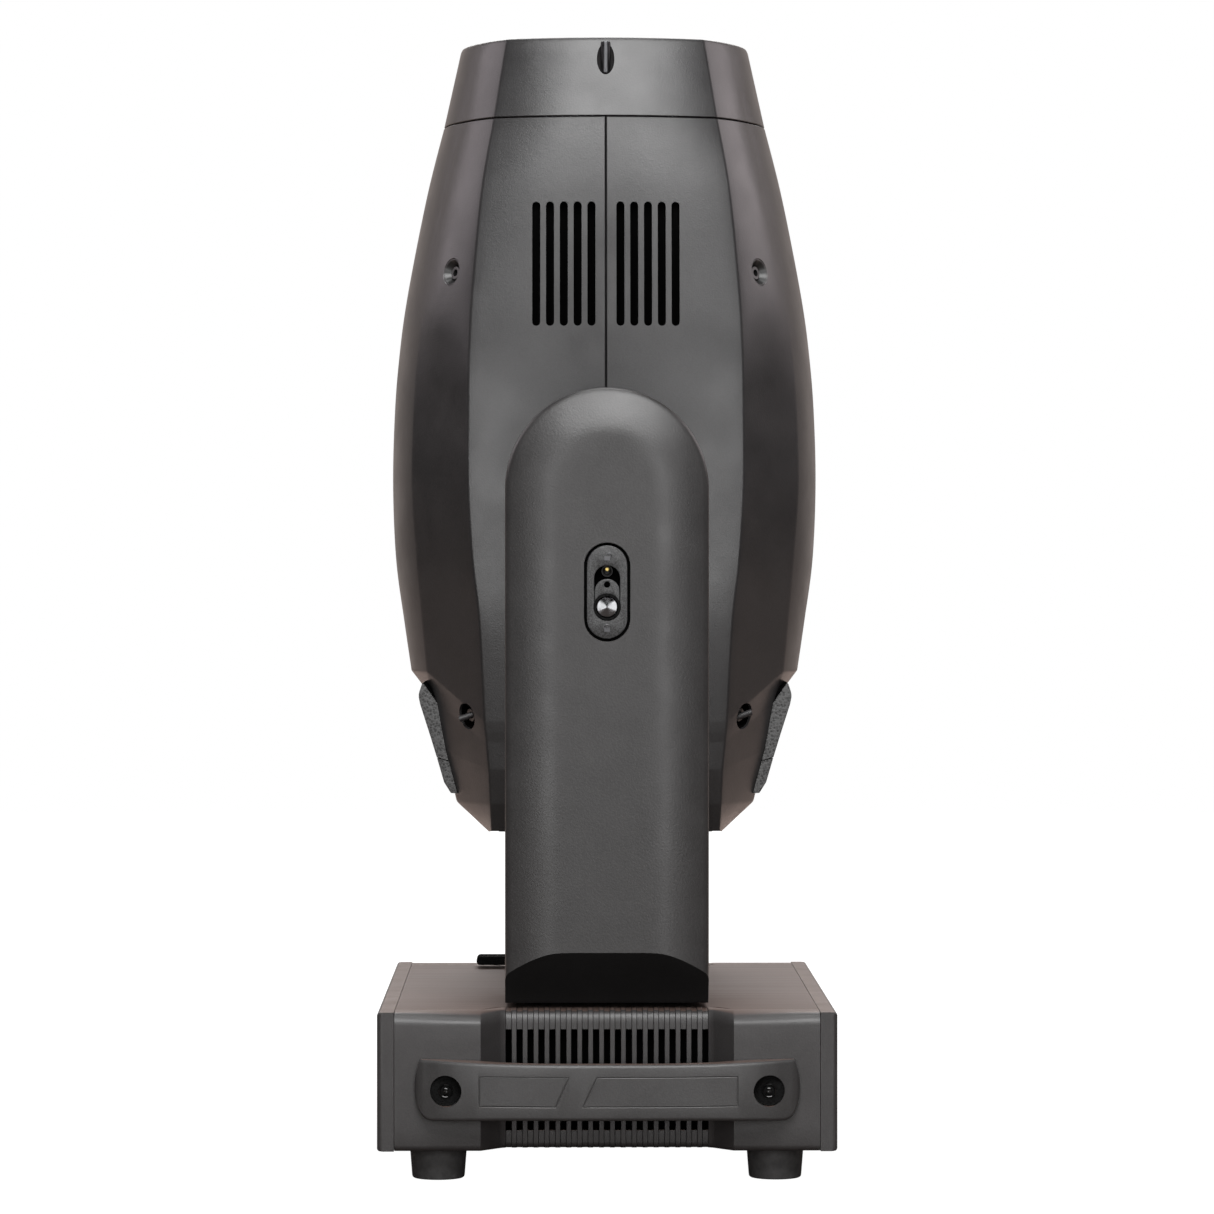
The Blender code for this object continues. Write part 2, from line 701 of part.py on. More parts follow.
def arm_bottom_z(y):
    """Where the foot of an arm is cut off: level, then a sloping chamfer under the outer face."""
    slope = (ARM_CHAMFER_Z - ARM_BOTTOM_Z) / (ARM_FACE_Y - ARM_CHAMFER_Y)
    return ARM_BOTTOM_Z + max(y - ARM_CHAMFER_Y, 0.0) * slope


def arm_cover(name, side):
    """The moulded outer cover of an arm: a straight shell with a half-round top."""
    steps = 14
    bm = bmesh.new()
    paths = []
    for x, y in arm_profile():
        bottom = arm_bottom_z(y)
        angles = [math.pi * k / steps for k in range(steps + 1)]
        arc = [(x * math.cos(a), side * y, TILT_Z + x * math.sin(a)) for a in angles]
        paths.append([(x, side * y, bottom), *arc, (-x, side * y, bottom)])
    rows = skin(bm, paths)
    bm.faces.new(rows[0])
    chamfer = rows[:-1]
    bm.faces.new([row[0] for row in chamfer] + [row[-1] for row in chamfer[::-1]])
    bm.faces.new((rows[-2][0], rows[-1][0], rows[-1][-1], rows[-2][-1]))
    turn_outwards(bm, (0, side * 0.13, 0.25))
    cover = place(name, mesh_of(bm, name, closed=False), "housing")
    return solidify(cover, COVER_WALL)


def arm_inner(name, side):
    """The flat cover that closes an arm on the head's side."""
    bottom = ARM_BOTTOM_Z + 0.0002
    angles = [math.pi * k / 16 for k in range(17)]
    arc = [(ARM_HALF_X * math.cos(a), TILT_Z + ARM_HALF_X * math.sin(a)) for a in angles]
    outline = [(ARM_HALF_X, bottom), *arc, (-ARM_HALF_X, bottom)]
    ends = sorted((side * 0.1127, side * (ARM_OPEN_Y - GAP)))
    opening = rectangle(0.042, 0.01175, (0.0, 0.11375))
    plate(
        name,
        outline,
        *ends,
        plane="XZ",
        holes=[circle(0.024, (0, TILT_Z)), opening],
        finish="housing",
    )


def yoke_frame():
    """The load-bearing fork of the yoke: a bottom plate and two uprights with bearing bores."""
    low, high = 0.1025, 0.1055
    reach = FRAME_Y + FRAME_PLATE
    frame = box("yoke_frame", (-0.040, -reach, low), (0.040, reach, high), "base_metal")
    for word, side in (("near", NEAR), ("far", FAR)):
        angles = [math.pi * k / 14 for k in range(15)]
        arc = [
            (FRAME_HALF_X * math.cos(a), TILT_Z + FRAME_HALF_X * math.sin(a)) for a in angles
        ]
        outline = [(FRAME_HALF_X, low), *arc, (-FRAME_HALF_X, low)]
        ends = sorted((side * FRAME_Y, side * (reach + 0.0002)))
        holes = [
            circle(BEARING_RADIUS + GAP, (0, TILT_Z)),
            rectangle(0.042, 0.0088, (0, 0.1157)),
            stadium(0.018, 0.040, (0, 0.2000)),
        ]
        join(frame, plate("upright_" + word, outline, *ends, plane="XZ", holes=holes))
    cut(frame, cylinder("pan_bore", 0.0205, (0, 0, 0.095), (0, 0, 0.110)))
    return frame


def bridge_cover():
    """The cover over the bottom of the fork: walls and a top, open underneath."""
    radius = 0.010
    arc = [
        (ARM_HALF_X - radius * (1 - math.cos(a)), BRIDGE_TOP_Z - radius * (1 - math.sin(a)))
        for a in (math.pi / 2 * k / 5 for k in range(6))
    ]
    outline = [(ARM_HALF_X, ARM_BOTTOM_Z), *arc]
    outline += [(-x, z) for x, z in outline[::-1]]
    reach, wall = 0.1124, COVER_WALL
    cover = plate("bridge_cover", outline, -reach, reach, plane="XZ", finish="housing")
    inside = [(x - wall if x > 0 else x + wall, z - wall) for x, z in outline]
    cut(cover, plate("bridge_hollow", inside, wall - reach, reach - wall, plane="XZ"))
    for side in (NEAR, FAR):
        ends = sorted((side * 0.100, side * 0.120))
        cut(cover, box("belt_window", (-0.042, ends[0], 0.1018), (0.042, ends[1], 0.1235)))


def pan_lock_lever():
    """A push tab at the foot of the far arm, which locks pan. It slides along X."""
    low_y, high_y, round_off = 0.1245, 0.1465, 0.002
    outline = [(-0.0500, low_y), (-0.0500, high_y), (-0.0790 + round_off, high_y)]
    outline += [(-0.0790, high_y - round_off), (-0.0790, low_y + round_off)]
    outline += [(-0.0790 + round_off, low_y)]
    lever = plate("pan_lock_lever", outline, 0.0993, 0.1045, finish="black_plastic")
    move_origin(lever, (-0.0645, (low_y + high_y) / 2, 0.1019))
    window = ((-0.066, low_y - GAP, 0.095), (-0.040, high_y + GAP, 0.1048))
    cut(bpy.data.objects["arm_cover_far"], box("lever_window", *window))


def tilt_lock():
    """The oval plate in the near arm's face and the slider in it, which locks tilt."""
    centre = (0, LOCK_Z)
    face = -ARM_FACE_Y
    cutter = plate(
        "lock_opening",
        stadium(LOCK_HALF_X + GAP, LOCK_HALF_Z + GAP, centre),
        face - 0.01,
        face + 0.01,
        plane="XZ",
    )
    cut(bpy.data.objects["arm_cover_near"], cutter)
    oval = plate(
        "tilt_lock_plate",
        stadium(LOCK_HALF_X, LOCK_HALF_Z, centre),
        face + 0.0002,
        face + 0.0055,
        plane="XZ",
        finish="housing",
    )
    dish = stadium(LOCK_HALF_X - 0.0018, LOCK_HALF_Z - 0.0018, centre)
    cut(oval, plate("lock_dish", dish, face - 0.005, face + 0.0030, plane="XZ"))
    slot = stadium(LOCK_SLOT_HALF_X, LOCK_SLOT_HALF_Z, centre)
    cut(oval, plate("lock_slot", slot, face - 0.005, face + 0.010, plane="XZ"))
    slider = plate(
        "tilt_lock_slider",
        stadium(0.0095, 0.0205, (0, 0.3305)),
        face + 0.0058,
        face + 0.0078,
        plane="XZ",
        finish="black_plastic",
    )
    thumb = stadium(0.0066, 0.0115, (0, 0.3305))
    join(slider, plate("slider_thumb", thumb, face + 0.0018, face + 0.0060, plane="XZ"))
    knob = ((0, face + 0.0020, 0.3252), (0, face + 0.0004, 0.3252))
    join(slider, cylinder("slider_knob", 0.0050, *knob, segments=24))
    move_origin(slider, (0, face + 0.005, 0.3305))


def pan_drive():
    """The pan motor in the far arm, its pinion, and the belt to the fixed pulley."""
    y = PAN_MOTOR_Y
    body = box("pan_motor", (-0.016, y - 0.0158, 0.1240), (0.016, y + 0.0158, 0.1580), "steel")
    shaft = ((0, y, 0.1250), (0, y, 0.1215))
    join(body, cylinder("pan_motor_nose", 0.0060, *shaft, segments=24))
    profile = [(0, 0.1212), (PINION_RADIUS, 0.1212), (PINION_RADIUS, 0.1110), (0, 0.1110)]
    turned("pan_pinion", profile, (0, y, 0), finish="steel", steps=16)
    inner = belt_loop(PAN_PULLEY_RADIUS + GAP, PINION_RADIUS + GAP, y)
    outer = belt_loop(
        PAN_PULLEY_RADIUS + GAP + BELT_THICKNESS, PINION_RADIUS + GAP + BELT_THICKNESS, y
    )
    plate("pan_belt", outer, 0.1120, 0.1200, holes=[inner], finish="rubber")


def tilt_drive():
    """The tilt motor in the near arm, its pinion, and the belt up to the head's pulley."""
    z = TILT_MOTOR_Z
    body = box("tilt_motor", (-0.021, -0.1625, z - 0.021), (0.021, -0.1400, z + 0.021), "steel")
    for x in (-0.0175, 0.0175):
        for rise in (-0.016, 0.010):
            post = ((x, -0.1410, z + rise), (x, -0.1226, z + rise))
            join(body, cylinder("motor_post", 0.0025, *post, segments=12))
    half = 0.0040
    profile = [(0, half), (PINION_RADIUS, half), (PINION_RADIUS, -half), (0, -half)]
    turned("tilt_pinion", profile, (0, -TILT_PULLEY_Y, z), axis="Y", finish="steel", steps=16)
    drop = TILT_Z - z
    sizes = (TILT_PULLEY_RADIUS + GAP, PINION_RADIUS + GAP)
    inner = [(u, TILT_Z - v) for u, v in belt_loop(*sizes, drop)]
    sizes = [size + BELT_THICKNESS for size in sizes]
    outer = [(u, TILT_Z - v) for u, v in belt_loop(*sizes, drop)]
    ends = (-TILT_PULLEY_Y - 0.0033, -TILT_PULLEY_Y + 0.0033)
    plate("tilt_belt", outer[::-1], *ends, plane="XZ", holes=[inner], finish="rubber")


def tilt_bearing(name, side):
    ring = [(TRUNNION_RADIUS + GAP, 0.0035), (BEARING_RADIUS, 0.0035)]
    ring += [(BEARING_RADIUS, -0.0035), (TRUNNION_RADIUS + GAP, -0.0035)]
    at = (0, side * (FRAME_Y + FRAME_PLATE / 2), TILT_Z)
    turned(name, ring, at, axis="Y", finish="steel", ring=True)


def build_yoke():
    yoke_frame()
    bridge_cover()
    for word, side in (("near", NEAR), ("far", FAR)):
        arm_cover(f"arm_cover_{word}", side)
        arm_inner(f"arm_inner_{word}", side)
        tilt_bearing(f"tilt_bearing_{word}", side)
    tilt_lock()
    pan_lock_lever()
    pan_drive()
    tilt_drive()


# ---------------------------------------------------------------- head
def head_quarter(section):
    """One section's points from the crown of a side panel to the middle of the +X side."""
    panel_z, edge_z, side_z, crown, panel_x, panel_y, edge_x, edge_y, side_x, roundness = section
    chord = Vector((edge_x - panel_x, edge_y - panel_y))
    outward = Vector((-chord.y, chord.x)).normalized()
    bulge = roundness * chord.length_squared / (8 * side_x) * 8 / 9
    flank = []
    for share in (1 / 3, 2 / 3):
        point = Vector((panel_x, panel_y)) + chord * share + outward * bulge
        flank.append((point.x, point.y, panel_z + (edge_z - panel_z) * share))
    crown_drop = crown - panel_y
    side_drop = side_x - edge_x
    return [
        (0.0, crown, panel_z),
        (panel_x / 2, crown - crown_drop / 4, panel_z),
        (panel_x, panel_y, panel_z),
        *flank,
        (edge_x, edge_y, edge_z),
        (side_x - side_drop / 4, edge_y / 2, (edge_z + side_z) / 2),
        (side_x, 0.0, side_z),
    ]


def head_half(section, hand):
    """One section of a half shell, from the near seam round its middle to the far seam."""
    quarter = head_quarter(section)
    quarter[0] = (SEAM_HALF_GAP, *quarter[0][1:])
    near = [(hand * x, -y, z) for x, y, z in quarter]
    far = [(hand * x, y, z) for x, y, z in quarter[-2::-1]]
    return near + far


def head_shell(name, hand):
    sections = list(HEAD_SECTIONS[1:])
    sections[0] = (SHELL_HIGH_Z, SHELL_HIGH_Z, SHELL_HIGH_Z, *sections[0][3:])
    bm = bmesh.new()
    skin(bm, [head_half(section, hand) for section in sections])
    turn_outwards(bm, (0, 0, 0.4))
    shell = place(name, mesh_of(bm, name, closed=False), "housing")
    solidify(shell, SHELL_WALL)
    slots = []
    for side in (NEAR, FAR):
        for k in range(HEAD_VENTS):
            x = hand * (HEAD_VENT_FIRST_X + k * HEAD_VENT_PITCH)
            ends = sorted((side * 0.080, side * 0.110))
            oval = stadium(HEAD_VENT_WIDTH / 2, HEAD_VENT_LENGTH / 2, (x, HEAD_VENT_Z), steps=2)
            slots.append(plate("vent", oval, *ends, plane="XZ"))
    cut(shell, several(name + "_vents", slots))
    cut(shell, cylinder("hub_hole", 0.030, (0, -0.120, TILT_Z), (0, 0.120, TILT_Z)))


def front_bezel():
    """The tapered ring round the front lens, in one piece with the lens seat."""
    low = (BEZEL_LOW_Z, BEZEL_LOW_Z, BEZEL_LOW_Z, *HEAD_SECTIONS[1][3:])
    rings = []
    for section in (HEAD_SECTIONS[0], low):
        quarter = head_quarter(section)
        right = [(x, -y, z) for x, y, z in quarter[:-1]] + [(x, y, z) for x, y, z in quarter[::-1]]
        left = [(-x, y, z) for x, y, z in right[-2:0:-1]]
        rings.append(right + left)
    bezel = loft("front_bezel", rings, "housing")
    profile = [
        (0, 0.665),
        (LENS_RADIUS + GAP, 0.665),
        (LENS_RADIUS + GAP, LENS_SEAT_Z),
        (0.0640, LENS_SEAT_Z),
        (0.0640, 0.6300),
        (0.0740, 0.6260),
        (0.0740, 0.6000),
        (0, 0.6000),
    ]
    cut(bezel, turned("lens_cutter", profile, (0, 0, 0), steps=36))
    for side in (NEAR, FAR):
        bm = bmesh.new()
        bmesh.ops.create_uvsphere(bm, u_segments=10, v_segments=6, radius=1.0)
        bmesh.ops.scale(bm, vec=(0.0052, 0.0045, 0.0110), verts=bm.verts)
        bmesh.ops.translate(bm, vec=(0, side * 0.0805, 0.6450), verts=bm.verts)
        cut(bezel, place("screw_scoop", mesh_of(bm, "screw_scoop")))


def front_lens():
    edge = LENS_SEAT_Z + GAP
    profile = [(0.0, edge + 0.0115)]
    for k in range(1, 5):
        radius = (LENS_RADIUS - 0.001) * k / 4
        profile.append((radius, edge + 0.0040 + 0.0075 * (1 - (k / 4) ** 2)))
    profile += [(LENS_RADIUS, edge + 0.0035), (LENS_RADIUS, edge), (0, edge)]
    turned("front_lens", profile, (0, 0, 0), finish="glass", steps=36)


def chassis(name, side):
    """A side plate of the head's inner frame, with its hollow trunnion."""
    outline = rectangle(0.050, 0.1920, (0, 0.4070))
    holes = [rectangle(0.034, 0.040, (0, z)) for z in (0.275, 0.515)]
    ends = sorted((side * CHASSIS_Y, side * (CHASSIS_Y + 0.002)))
    wall = plate(name, outline, *ends, plane="XZ", holes=holes, finish="aluminium")
    reach = 0.1372 if side == NEAR else 0.1290
    flange = ((0, side * (CHASSIS_Y + 0.001), TILT_Z), (0, side * (CHASSIS_Y + 0.007), TILT_Z))
    join(wall, cylinder(name + "_flange", 0.027, *flange))
    tube = ((0, side * (CHASSIS_Y + 0.001), TILT_Z), (0, side * reach, TILT_Z))
    join(wall, cylinder(name + "_tube", TRUNNION_RADIUS, *tube))
    bore = ((0, side * 0.060, TILT_Z), (0, side * 0.150, TILT_Z))
    cut(wall, cylinder(name + "_bore", TRUNNION_BORE, *bore))


def tilt_pulley():
    bore, rim, flange = TRUNNION_RADIUS + GAP, TILT_PULLEY_RADIUS, TILT_PULLEY_RADIUS + 0.0030
    profile = [(bore, 0.0050), (flange, 0.0050), (flange, 0.0038), (rim, 0.0038)]
    profile += [(rim, -0.0038), (flange, -0.0038), (flange, -0.0050), (bore, -0.0050)]
    at = (0, -TILT_PULLEY_Y, TILT_Z)
    turned("tilt_pulley", profile, at, axis="Y", finish="aluminium", ring=True)


def rear_cap():
    """The plate that closes the head's rear, with an open fan guard."""
    half = [(0.0655, 0.048), (0.0625, 0.0730), (0, 0.0755)]
    outline = [(x, -y) for x, y in half[::-1]] + half
    outline += [(-x, y) for x, y in half[1::-1]] + [(-x, -y) for x, y in half[:2]]
    low, high = 0.1930, 0.1970
    cap = plate("rear_cap", outline, low, high, holes=[circle(0.054)], finish="black_plastic")
    bars = [
        box("bar_x", (-0.058, -0.0025, low + 0.0003), (0.058, 0.0025, high - 0.0003)),
        box("bar_y", (-0.0025, -0.058, low + 0.0004), (0.0025, 0.058, high - 0.0004)),
        plate("guard_hub", circle(0.018, steps=16), low + 0.0002, high - 0.0002),
        plate(
            "guard_ring",
            circle(0.0375),
            low + 0.0005,
            high - 0.0005,
            holes=[circle(0.0345)],
        ),
    ]
    join(cap, *bars)


def rear_fan():
    hub = [(0, 0.016), (0.018, 0.016), (0.019, 0.015), (0.019, 0.0), (0, 0)]
    fan = turned("fan_rotor", hub, (0, 0, FAN_Z), finish="black_plastic", steps=21)
    blades = []
    for k in range(7):
        blade = box("blade", (0.016, -0.0008, 0.0015), (0.051, 0.0008, 0.0145))
        centre = Matrix.Translation((0, 0, 0.008))
        pitch = centre @ Matrix.Rotation(math.radians(40), 4, "X") @ centre.inverted()
        blade.data.transform(Matrix.Rotation(2 * math.pi * k / 7, 4, "Z") @ pitch)
        blades.append(blade)
    ring = several("fan_blades", blades)
    ring.location = (0, 0, FAN_Z)
    join(fan, ring)


def heat_sink():
    """A finned block: the fins point down to the fan."""
    fins, pitch, thick = 12, 0.0096, 0.0024
    low, root, high = 0.2200, 0.2540, 0.2620
    outline = []
    for k in range(fins):
        left = (k - (fins - 1) / 2) * pitch - thick / 2
        outline += [(left, root), (left, low), (left + thick, low), (left + thick, root)]
    outline = outline[1:-1]
    outline += [(outline[-1][0], high), (outline[0][0], high)]
    plate("heat_sink", outline, -0.055, 0.055, plane="XZ", finish="aluminium")


def led_engine():
    engine = box("led_engine", (-0.030, -0.030, 0.2624), (0.030, 0.030, 0.2670), "steel")
    join(engine, cylinder("engine_lens", 0.024, (0, 0, 0.2660), (0, 0, 0.2900)))


def optics_frame():
    """The plate that carries both wheels, with the two rods that the lens carriages ride on."""
    low, high = 0.3185, 0.3207
    frame = plate(
        "optics_frame",
        rectangle(0.056, 0.0708),
        low,
        high,
        holes=[circle(0.018, steps=16)],
        finish="aluminium",
    )
    for side in (NEAR, FAR):
        rod = ((0, side * ROD_Y, high - 0.001), (0, side * ROD_Y, 0.6000))
        join(frame, cylinder("guide_rod", ROD_RADIUS, *rod, segments=12))
    down = ((WHEEL_OFFSET_X, 0, low + 0.001), (WHEEL_OFFSET_X, 0, 0.3040))
    up = ((-WHEEL_OFFSET_X, 0, high - 0.001), (-WHEEL_OFFSET_X, 0, 0.3360))
    for ends in (down, up):
        join(frame, cylinder("wheel_stub", 0.0040, *ends, segments=12))


def wheel(name, x, low, count, hole, finish):
    """A filter wheel on its stub: a thin disc with a ring of windows."""
    pitch = WHEEL_OFFSET_X
    windows = [
        circle(hole, (pitch * math.cos(a), pitch * math.sin(a)), 8)
        for a in (2 * math.pi * k / count for k in range(count))
    ]
    holes = [circle(0.0040 + GAP, steps=12), *windows]
    disc = plate(name, circle(WHEEL_RADIUS), low, low + 0.0016, holes=holes, finish=finish)
    disc.location = (x, 0, 0)


def carriage(name, low, radius, aperture):
    """A lens carriage: an oval plate with a lens opening, bored for the two rods."""
    outline = stadium(radius, 0.0665, steps=8)
    rods = [circle(ROD_RADIUS + GAP, (0, side * ROD_Y), 12) for side in (NEAR, FAR)]
    holes = [circle(aperture), *rods]
    ring = plate(name, outline, low, low + 0.010, holes=holes, finish="black_plastic")
    move_origin(ring, (0, 0, low + 0.005))


def intake_pad(name, hand):
    """A ribbed air intake that stands on the rear of a shell, right under its crease."""
    rings = []
    mirrored = [(-y, *rest) for y, *rest in INTAKE_STATIONS[:-1]]
    for y, top, inner in (*mirrored, *INTAKE_STATIONS[::-1]):
        section = [*INTAKE_OUTER, (0.1082, top), *inner]
        rings.append([(hand * x, y, z) for x, z in section])
    loft(name, rings, "intake_foam")


def build_head():
    for word, hand in (("front", 1), ("back", -1)):
        head_shell(f"head_shell_{word}", hand)
        intake_pad(f"intake_pad_{word}", hand)
    front_bezel()
    front_lens()
    chassis("chassis_near", NEAR)
    chassis("chassis_far", FAR)
    tilt_pulley()
    rear_cap()
    rear_fan()
    heat_sink()
    led_engine()
    optics_frame()
    wheel("color_wheel", WHEEL_OFFSET_X, 0.3090, 8, 0.0110, "glass")
    wheel("gobo_wheel", -WHEEL_OFFSET_X, 0.3280, 7, 0.0120, "steel")
    carriage("focus_carriage", 0.4000, 0.040, 0.030)
    carriage("zoom_carriage", 0.5000, 0.046, 0.036)


# ---------------------------------------------------------------- the whole light
def group_under_axis(name, at, build):
    """Builds a group and parents its parts to an empty that stands on the group's axis."""
    before = set(PARTS.objects)
    build()
    axis = bpy.data.objects.new(name, None)
    axis.location = at
    PARTS.objects.link(axis)
    bpy.context.view_layer.update()
    for obj in set(PARTS.objects) - before - {axis}:
        obj.parent = axis
        obj.matrix_parent_inverse = axis.matrix_world.inverted()
    return axis


def main():
    group_under_axis("base", (0, 0, 0), build_base)
    pan = group_under_axis("pan_axis", (0, 0, 0), build_yoke)
    tilt = group_under_axis("tilt_axis", (0, 0, TILT_Z), build_head)
    tilt.parent = pan


main()
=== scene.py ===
"""Looks of the moving head light, in metres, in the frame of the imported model.

Fine skins stand for the CAD's casings, and small pieces are added that the CAD leaves out, such as
the shell screws. Everything rides on a CAD body, so that it pans and tilts with it.
"""

import math

import bmesh
import bpy
from mathutils import Matrix, Vector


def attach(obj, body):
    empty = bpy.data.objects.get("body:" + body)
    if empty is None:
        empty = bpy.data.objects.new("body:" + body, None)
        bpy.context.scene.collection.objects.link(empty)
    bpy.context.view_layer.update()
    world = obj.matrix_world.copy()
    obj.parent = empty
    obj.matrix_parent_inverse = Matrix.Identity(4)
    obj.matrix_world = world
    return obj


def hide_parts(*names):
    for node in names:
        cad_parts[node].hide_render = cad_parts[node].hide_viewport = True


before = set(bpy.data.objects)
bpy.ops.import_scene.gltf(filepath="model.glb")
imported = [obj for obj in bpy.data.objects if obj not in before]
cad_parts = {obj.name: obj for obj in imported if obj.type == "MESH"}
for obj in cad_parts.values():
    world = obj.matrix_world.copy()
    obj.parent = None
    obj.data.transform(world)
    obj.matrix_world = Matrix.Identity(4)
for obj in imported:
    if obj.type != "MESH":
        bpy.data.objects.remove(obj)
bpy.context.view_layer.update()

# ---------------------------------------------------------------- dimensions
NEAR, FAR = -1, 1  # the two sides along Y
SIDES = (("near", NEAR), ("far", FAR))
HANDS = (("front", 1), ("back", -1))
TILT_Z = 0.392

# Outer surface of the head, as in the CAD: heights of the side panel, the flank's edge and the middle,
# then panel crown Y, panel edge X and Y, flank edge X and Y, half width X, and flank roundness.
HEAD_SECTIONS = (
    (0.6570, 0.6570, 0.6570, 0.0770, 0.0575, 0.0660, 0.0741, 0.0432, 0.0855, 1.0),
    (0.6100, 0.6100, 0.6100, 0.0880, 0.0650, 0.0755, 0.0839, 0.0462, 0.0960, 1.0),
    (0.5680, 0.5680, 0.5680, 0.0940, 0.0720, 0.0840, 0.0940, 0.0500, 0.1065, 1.0),
    (0.5080, 0.5080, 0.5080, 0.1000, 0.0775, 0.0920, 0.1053, 0.0536, 0.1182, 1.0),
    (0.4700, 0.4700, 0.4700, 0.1030, 0.0795, 0.0965, 0.1103, 0.0550, 0.1232, 0.4),
    (0.4360, 0.4360, 0.4360, 0.1040, 0.0800, 0.0980, 0.1125, 0.0560, 0.1257, 0.0),
    (0.3950, 0.3950, 0.3950, 0.1045, 0.0800, 0.0985, 0.1134, 0.0563, 0.1266, 0.0),
    (0.3520, 0.3520, 0.3520, 0.1040, 0.0775, 0.0980, 0.1105, 0.0570, 0.1248, 0.0),
    (0.3160, 0.3160, 0.3160, 0.1030, 0.0735, 0.0970, 0.1075, 0.0560, 0.1200, 0.0),
    (0.2580, 0.2860, 0.2860, 0.0980, 0.0705, 0.0915, 0.1049, 0.0550, 0.1156, 0.0),
    (0.2520, 0.2770, 0.2776, 0.0972, 0.0700, 0.0907, 0.1020, 0.0535, 0.1090, 0.0),
    (0.2460, 0.2680, 0.2680, 0.0963, 0.0695, 0.0897, 0.0998, 0.0520, 0.1003, 0.0),
    (0.2300, 0.2400, 0.2400, 0.0940, 0.0680, 0.0880, 0.0947, 0.0520, 0.0952, 0.0),
    (0.2095, 0.2095, 0.2095, 0.0885, 0.0672, 0.0840, 0.0875, 0.0500, 0.0880, 0.0),
    (0.1936, 0.1918, 0.1918, 0.0800, 0.0668, 0.0775, 0.0686, 0.0500, 0.0691, 0.0),
)
CREASE_SECTION = 9  # the section where the flanks end and the rear begins
HEAD_TOP_Z, RIM_ROUND = 0.657, 0.0014
HEAD_VENT_COUNT, HEAD_VENT_FIRST_X, HEAD_VENT_PITCH = 5, 0.0084, 0.0080
HEAD_VENT_HALF_X, HEAD_VENT_HALF_Z, HEAD_VENT_Z = 0.00235, 0.03625, 0.5237
WELLS = (("upper", 0.0901, 0.5202, 0.0082), ("lower", 0.0812, 0.2606, 0.0079))  # X, Z and radius
WELL_DEPTH = 0.0095
BEZEL_LOW_Z = 0.6104
SHELL_WALL = 0.003
SEAM_HALF_GAP, SEAM_BEVEL = 0.0003, 0.0005
LENS_RADIUS = 0.0705
LENS_SEAT_Z = 0.634

BASE_HALF_X, BASE_HALF_Y = 0.130, 0.175
BASE_LOW_Z, BASE_TOP_Z = 0.018, 0.0965
PANEL_THICKNESS = 0.0095
RECESS_DEPTH, RECESS_START, RECESS_RAMP = 0.015, 0.0715, 0.0125
VENT_COUNT, VENT_PITCH, VENT_WIDTH = 19, 0.0062, 0.0034
VENT_LOW_Z, VENT_HIGH_Z = 0.028, 0.0855
RIB_DEPTH, COVER_WALL, FLANGE = 0.0016, 0.0022, 0.019
FILLET_LOW, FILLET_HIGH = 0.0035, 0.0075
HANDLE_Z, HANDLE_BACK_Y, HANDLE_END, BOLT_X = 0.0533, 0.1753, 0.10865, 0.091
HANDLE_SECTIONS = (  # X, half height, inner Y and outer Y, from the middle to the end
    (0.000, 0.0158, 0.1885, 0.1970),
    (0.035, 0.0158, 0.1880, 0.1965),
    (0.060, 0.0160, 0.1832, 0.1940),
    (0.075, 0.0164, 0.1765, 0.1915),
    (0.085, 0.0167, HANDLE_BACK_Y, 0.1889),
    (0.095, 0.0170, HANDLE_BACK_Y, 0.1855),
    (0.104, 0.0172, HANDLE_BACK_Y, 0.1815),
    (0.1087, 0.0173, HANDLE_BACK_Y, 0.1790),
)

ARM_HALF_X = 0.0579
ARM_FACE_Y, ARM_EDGE_Y, ARM_CORNER_Y, ARM_OPEN_Y = 0.167, 0.1585, 0.156, 0.1155
ARM_BOTTOM_Z, ARM_CHAMFER_Y, ARM_CHAMFER_Z = 0.0995, 0.147, 0.1295
ARM_WALL, BRIDGE_TOP_Z, FOOT_HALF_X = 0.0025, 0.128, 0.042
LOCK_Z = 0.3337
LOCK_HALF_X, LOCK_HALF_Z = 0.01275, 0.0277
LOCK_KNOB_Z = 0.3252

HUB_HOLE_RADIUS = 0.030
# The black strips and screens behind gaps and vents are painted shade.
SHADE_SHEET = 0.0008  # the thickness of the black strips and screens behind gaps and vents
HEAD_MIDDLE = (0, 0, 0.4)
SCREW_STEPS = 24
SHARP_ANGLE = 32
FAN_Z = 0.2000
GUARD_LOW_Z, GUARD_HIGH_Z = 0.1930, 0.1970
DISPLAY_Y, KNOB_Y, FUSE_Y, CONTROLS_Z = -0.045, 0.030, -0.055, 0.057
BUTTON_X, SEAT_X = 0.1212, 0.1205  # where the buttons and the sockets stand behind the panels' faces
FOOT_X, FOOT_Y = 0.096, 0.145


# ---------------------------------------------------------------- materials
def new_node(nodes, kind, **values):
    """A new shader node with values on its inputs: from_min is the input From Min."""
    made = nodes.new(kind)
    for name, value in values.items():
        made.inputs[name.replace("_", " ").title()].default_value = value
    return made


def mapped(tree, value, start, end, low, high, smooth=False):
    """The output of a node that maps a value from one span to another."""
    made = new_node(tree.nodes, "ShaderNodeMapRange", from_min=start, from_max=end, to_min=low, to_max=high)
    if smooth:
        made.interpolation_type = "SMOOTHSTEP"
    tree.links.new(value, made.inputs["Value"])
    return made.outputs["Result"]


def split_axes(tree, vector):
    """The outputs X, Y and Z of a vector."""
    parts = tree.nodes.new("ShaderNodeSeparateXYZ")
    tree.links.new(vector, parts.inputs[0])
    return parts.outputs


